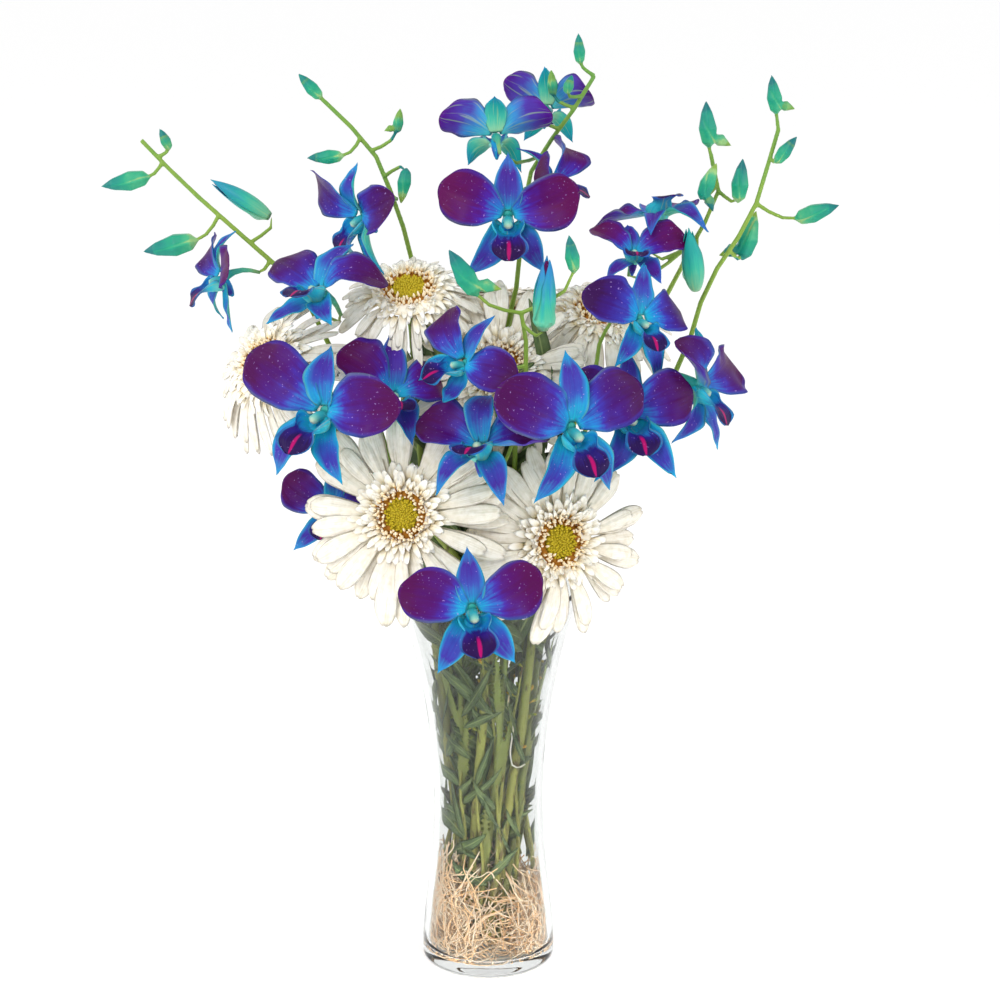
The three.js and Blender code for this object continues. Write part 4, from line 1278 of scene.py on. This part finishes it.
bud_lean = {"left": 0.5, "centre": 0.9, "right_centre": 0.1}
for spray, lean_value in bud_lean.items():
    node = f"orchid_{spray}_opening_bud"
    points = frame_points(node)
    near = np.linalg.norm(points[:, None] - frame_points(f"orchid_{spray}_stem")[None], axis=2).min(axis=1)
    foot = points[near.argmin()]
    tip = points[np.linalg.norm(points - foot, axis=1).argmax()]
    axis = unit(tip - foot)
    off = points - foot - ((points - foot) @ axis)[:, None] * axis
    reach = np.linalg.norm(off, axis=1)
    chin_point = off[reach.argmax()]
    x = unit(chin_point)
    y = np.cross(axis, x)
    length = np.linalg.norm(tip - foot)
    width = 2.0 * np.sort(reach)[len(reach) // 2]
    width = float(np.clip(width, 9 * MM, 13 * MM))
    chin = max(0.0, float(reach.max()) - width * 0.45)
    matrix = axes_matrix(x, y, axis, foot)
    parts = []
    for i, turn in enumerate((math.pi, math.pi / 3 - 0.25, -math.pi / 3 + 0.1)):
        reach_share, flare = (1.0, 0.95, 0.9)[i], (0.05, 0.12, 0.2)[i]
        grid = wrapped(length, width, turn, 1.25, reach_share, 0.0, chin, flare, 1 - 0.05 * i)
        parts.append(carried(sheet(grid[:, ::-1], 0.6 * MM, 0, lean=lean_value), matrix))
    core = [(0, 0, length * t) for t in np.linspace(0.06, 0.93, 9)]
    radii = 0.4 * width * np.sin(np.pi * np.linspace(0.1, 0.97, 9) ** 0.8) ** 0.8
    parts.append(carried(loft(core, radii, 12, 1, up=(1, 0, 0), lean=lean_value), matrix))
    mesh = make_mesh(node + "_sepals", parts, [opening_teal, dyed_petal])
    set_down(node + "_sepals", mesh, "dyed_orchid_petal", node)
    print(node, "length", round(length / MM), "width", round(width / MM, 1), "chin", round(chin / MM, 1))

# %% [markdown]
# ## Leaves in the glass
#
# Narrow dull leaves fill the glass between the stems and the wall, among thin stems that wind up the
# inside of the wall. One tree sets leaf after leaf at random heights and depths, each turned a golden
# angle from the last, and then presses anything that would pierce the glass back inside it.

# %% Leaf finish and leaves
leaf_dull, tree, petal_map, along, across, real = new_finish("filler_leaf_dull_green")
rib = span(tree, from_middle(tree, across), (0.02, 0.07))
mottle = noise(tree, real, 110.0, 5.0)
tone = ramp(tree, mottle, [(0.3, "#3F5230"), (0.5, "#54683E"), (0.72, "#707E4C")])
close_finish(tree, blend(tree, rib, "#84925A", tone), 0.6, relief(tree, rib, 0.4, 0.4), 0.02)


def lance(length, width, bend, twist, fold):
    """A narrow leaf along +X: pointed at both ends, folded on its rib."""
    t = np.linspace(0, 1, 13)[:, None]
    v = np.linspace(-1, 1, 5)[None, :]
    half = 0.5 * width * (0.06 + np.sin(np.pi * t**0.8) ** 0.8)
    turned = twist * t
    y = half * v * np.cos(turned)
    z = half * v * np.sin(turned) + fold * half * np.abs(v) + bend * length * t**2
    return np.stack(np.broadcast_arrays(length * t, y, z), -1)


def leaf_kind(name, thickness, sizes):
    """Leaves from rows of length, width, bend, twist and fold."""
    shapes = []
    for length, width, bend, twist, fold in sizes:
        shapes.append(sheet(lance(length * MM, width * MM, bend, twist, fold), thickness * MM))
    return kind(name, shapes, leaf_dull)


leaf_sizes = [
    (34, 6.5, 0.2, 0.6, 0.25),
    (46, 6, -0.15, -0.9, 0.2),
    (26, 6, 0.4, 0.5, 0.3),
    (38, 5, 0.1, 1.6, 0.2),
    (20, 5, 0.5, 0.3, 0.3),
]
leaf_kinds = leaf_kind("leaves", 0.35, leaf_sizes)

# %% The pressing step, shared by leaves and fibre
waist_level = float(outer[np.argmin(outer[:, 0]), 1])
waist_inside = float(wall_inside(waist_level))
foot_inside = float(wall_inside(0.004))
lip_inside = float(wall_inside(lip))


def press_inside(tree, geometry, gap):
    """Moves points that are beyond the glass's inner wall back to the gap inside it."""
    position = add(tree, "GeometryNodeInputPosition")
    high = add(tree, "ShaderNodeSeparateXYZ", {0: position}).outputs[2]
    below = calc(tree, "SINE", span(tree, high, (waist_level, 0.0), (0.0, math.pi / 2)))
    below = calc(tree, "MULTIPLY", calc(tree, "POWER", below, 2.0), foot_inside - waist_inside)
    above = calc(tree, "POWER", span(tree, high, (waist_level, lip)), 2.0)
    above = calc(tree, "MULTIPLY_ADD", above, lip_inside - waist_inside, below.outputs[0])
    most = calc(tree, "ADD", above, waist_inside - gap)
    flat = vector(tree, "MULTIPLY", position, (1.0, 1.0, 0.0))
    ratio = calc(tree, "DIVIDE", most, vector(tree, "LENGTH", flat).outputs["Value"])
    flat = scaled(tree, flat, calc(tree, "MINIMUM", ratio, 1.0))
    level = calc(tree, "MAXIMUM", high, floor_level + gap)
    pressed = vector(tree, "ADD", flat, xyz(tree, 0.0, 0.0, level))
    return add(tree, "GeometryNodeSetPosition", {"Geometry": geometry, "Position": pressed})


# %% The leaf tree
foliage, given = new_rule(
    "leaves_up_the_glass",
    Collection="Leaves",
    Int="Count, Seed",
    Float="Lowest, Highest, Inset, Rise",
    Material="Finish",
)
by_height, by_depth, by_rise, by_roll, by_side = draws(foliage, given["Seed"], range(5))
angle = calc(foliage, "MULTIPLY", add(foliage, "GeometryNodeInputIndex"), GOLDEN)
z = span(foliage, by_height, to=(given["Lowest"], given["Highest"]))
widest = span(foliage, z, (waist_level, lip), (waist_inside, lip_inside * 0.9))
inset = calc(foliage, "SUBTRACT", widest, given["Inset"])
radius = calc(foliage, "MULTIPLY", inset, span(foliage, by_depth, to=(0.3, 1.0)))
# Rise lifts the leaf from level towards upright; a random part makes some lie almost flat.
rise = calc(foliage, "MULTIPLY", span(foliage, by_rise, to=(0.35, 1.0)), given["Rise"])
# A leaf faces the wall: it lies along the wall's tangent and rises, with its face outwards.
side = calc(foliage, "GREATER_THAN", by_side, 0.5)
heading = calc(foliage, "ADD", angle, span(foliage, side, to=(math.pi / 2, -math.pi / 2)))
roll = span(foliage, by_roll, to=(-1.9, -1.2))
rotation = xyz(foliage, roll, calc(foliage, "MULTIPLY", rise, -1.0), heading)
spot, size = around(foliage, angle, radius, z), span(foliage, by_roll, to=(0.7, 1.15))
placed = repeat(foliage, given["Count"], spot, given["Leaves"], rotation, size)
placed = add(foliage, "GeometryNodeRealizeInstances", {0: placed})
close_rule(foliage, press_inside(foliage, placed, 1.2 * MM), given["Finish"])
# The same rule fills the vase with narrow leaves, and its throat and the heart of the bouquet with
# broader ones. The broader ones are also packed densely to darken the gaps between the stems, as
# painted shade where the heart of the bouquet lies in shadow.
broad_sizes = [(52, 12, 0.2, 0.5, 0.25), (62, 10, -0.1, -0.8, 0.2), (44, 13, 0.3, 0.4, 0.3)]
broad_kinds = leaf_kind("broad_leaves", 0.4, broad_sizes)
for name, group, count, lowest, highest, inset, rise, seed in (
    ("vase_leaves", leaf_kinds, 190, 0.045, 0.178, 3 * MM, 1.35, 5),
    # Broad leaves, packed densely: leaves, and painted shade between the stems.
    ("heart_leaves", broad_kinds, 180, 0.17, 0.3, 2 * MM, 1.45, 77),
):
    place = dict(lowest=lowest, highest=highest, inset=inset, rise=rise)
    leaves = grow(foliage, name, leaves=group, count=count, seed=seed, finish=leaf_dull, **place)
    set_down(name, leaves, "leaf_green")
    print(name, len(leaves.polygons), "faces")

# %% [markdown]
# ### Thin flowering stems
#
# Between the leaves stand thin stems of a small yellow filler flower, mostly in bud. They follow
# the wall of the glass with a few millimetres to spare, and the buds sit up their last third. They
# are few, so each is simply a loft.

# %% Thin stems and their tiny buds
stops = [(0.35, "#7E9438"), (0.5, "#A9AC3C"), (0.62, "#D9B436"), (0.7, "#D98A2C")]
bud_yellow = toned("filler_bud_yellow_green", stops, 0.6, mottle=(130.0, 2.0), on=None)


def along_wall(angle, twist, low, high, gap, wander, steps=22):
    """A path up the inside of the glass, gap metres from the wall."""
    t = np.linspace(0, 1, steps)
    z = low + (high - low) * t
    r = wall_inside(z) - gap - wander * np.sin(5 * t + angle) ** 2
    a = angle + twist * t + 0.05 * np.sin(9 * t + 3 * angle)
    return np.stack([r * np.cos(a), r * np.sin(a), z], -1)


chance = np.random.default_rng(31)
thin_parts = []
for i in range(16):
    angle = i * GOLDEN + 0.3
    high = chance.uniform(0.14, 0.185)
    path = along_wall(angle, chance.uniform(-0.5, 0.5), 0.05, high, 3.5 * MM, 4 * MM)
    thin_parts.append(loft(path, np.linspace(1.1, 0.5, len(path)) * MM, 6, 0, up=(1, 0.1, 0)))
    for k in range(9):
        spot = path[int(len(path) * chance.uniform(0.6, 0.99))]
        way = unit(chance.normal(0, 1, 3) * (1, 1, 0.6) + (0, 0, 1.0) - 0.6 * unit(spot * (1, 1, 0)))
        size = chance.uniform(1.6, 3.0) * MM
        foot_path = [spot + way * size * t for t in (0, 0.8, 1.2, 1.7, 2.0)]
        radii = np.array([0.25, 0.3, 0.75, 0.7, 0.15]) * MM
        thin_parts.append(loft(foot_path, radii, 6, 1, up=(1, 0.2, 0.1)))
stray = along_wall(-1.05, -0.14, 0.112, 0.152, 1.6 * MM, 1.0 * MM)
curl_out = np.array([(2, 0.6, -1.5), (4, 1.6, -1.6), (6, 3.0, -0.6)]) * MM
stray = np.concatenate([stray[::-1], stray[0] + curl_out])
thin_parts.append(loft(stray, np.full(len(stray), 0.4 * MM), 6, 2, up=(1, 0.1, 0)))
set_down(
    "thin_filler_stems",
    make_mesh("thin_filler_stems", thin_parts, [stem_olive, bud_yellow, floret_cream]),
    "leaf_green",
)
print("thin stems and buds:", len(thin_parts))

for node in names_like("leafy_stem"):
    mesh = skin(node)
    mesh.materials.append(stalk_green)
    for key in ("bud", "bud_run"):
        mesh.attributes.new(key, "FLOAT", "POINT")
    set_down(node + "_skin", mesh, "leaf_green", node)

# %% [markdown]
# ## Dried fibre
#
# A loose nest of bleached plant fibre holds the stem ends. Each strand is a thin curl, three quarters
# of a millimetre thick. The tree scatters short straight lines through the nest's space, pulls each one
# out of line by a noise of its own, presses it inside the glass and gives it a three-sided body.

# %% The strand tree
stops = [(0.2, "#FFCB94"), (0.5, "#FFD5A6"), (0.8, "#FFDEB8"), (1.0, "#FFE8CC")]
fibre_beige = toned("dried_plant_fibre_beige", stops, 0.75, 0.0, 0.2, (120.0, 4.0, 0.6), "shade")

nest, given = new_rule(
    "fibre_nest",
    Int="Count, Seed",
    Float="From angle, To angle, Inner radius, Outer radius, Lowest, Highest, Strand length, "
    "Thickness, Curl",
    Material="Finish",
)
by_angle, by_radius, by_height, *others = draws(nest, given["Seed"], range(7))
by_tilt, by_heading, by_size, own_shade = others
angle = span(nest, by_angle, to=(given["From angle"], given["To angle"]))
radius = calc(nest, "POWER", by_radius, 0.6)
radius = span(nest, radius, to=(given["Inner radius"], given["Outer radius"]))
spot = around(nest, angle, radius, span(nest, by_height, to=(given["Lowest"], given["Highest"])))
end = xyz(nest, given["Strand length"])
ends = {"Start": scaled(nest, end, -0.5), "End": scaled(nest, end, 0.5)}
line = add(nest, "GeometryNodeCurvePrimitiveLine", ends)
line = add(nest, "GeometryNodeResampleCurve", {"Curve": line, "Count": 23})
tilt = span(nest, by_tilt, to=(-1.2, 1.2))
rotation = xyz(nest, 0.0, tilt, span(nest, by_heading, to=(0.0, 2 * math.pi)))
size = span(nest, by_size, to=(0.5, 1.2))
placed = repeat(nest, given["Count"], spot, line.outputs[0], rotation, size)
strands = add(nest, "GeometryNodeRealizeInstances", {0: marked(nest, placed, "shade", own_shade)})
# Each strand reads its own part of a 4D noise, so that neighbours curl in different ways.
own = add(nest, "GeometryNodeInputNamedAttribute", {"Name": "shade"}, data_type="FLOAT")
own = calc(nest, "MULTIPLY", own, 60.0)
look_up = {"Vector": add(nest, "GeometryNodeInputPosition"), "W": own}
look_up.update({"Scale": 30.0, "Detail": 1.0, "Roughness": 0.3})
curl = add(nest, "ShaderNodeTexNoise", look_up, noise_dimensions="4D").outputs[1]
curl = scaled(nest, vector(nest, "ADD", curl, (-0.5, -0.5, -0.5)), given["Curl"])
curled = add(nest, "GeometryNodeSetPosition", {"Geometry": strands, "Offset": curl})
section = {"Resolution": 3, "Radius": given["Thickness"]}
section = add(nest, "GeometryNodeCurvePrimitiveCircle", section)
swept = {"Curve": press_inside(nest, curled, 0.8 * MM), "Profile Curve": section, "Fill Caps": True}
close_rule(nest, add(nest, "GeometryNodeCurveToMesh", swept), given["Finish"])

# %% Two lumps with a gap at the front, and a few loose curls
lumps = []
for name, count, from_to, radii, levels, length, curl, seed in (
    ("left_lump", 560, (100, 248), (0.012, 0.03), (0.009, 0.05), 0.042, 0.045, 21),
    ("right_lump", 440, (-58, 90), (0.012, 0.03), (0.009, 0.04), 0.04, 0.045, 41),
    ("floor_strands", 50, (0, math.degrees(6.28)), (0.0, 0.026), (0.007, 0.012), 0.05, 0.03, 61),
):
    values = dict(count=count, strand_length=length, curl=curl, seed=seed, finish=fibre_beige)
    values.update(inner_radius=radii[0], outer_radius=radii[1], lowest=levels[0], highest=levels[1])
    start, stop = (math.radians(degrees) for degrees in from_to)
    lumps.append(grow(nest, name, from_angle=start, to_angle=stop, thickness=0.37 * MM, **values))
fibre = joined("dried_fibre_strands", lumps)
set_down("dried_fibre_strands", fibre, "dried_fibre", "fibre_nest")
print("fibre:", len(fibre.polygons), "faces")

# %% Finish
for group in list(bpy.data.collections):
    for floret in list(group.objects):
        bpy.data.objects.remove(floret)
    bpy.data.collections.remove(group)
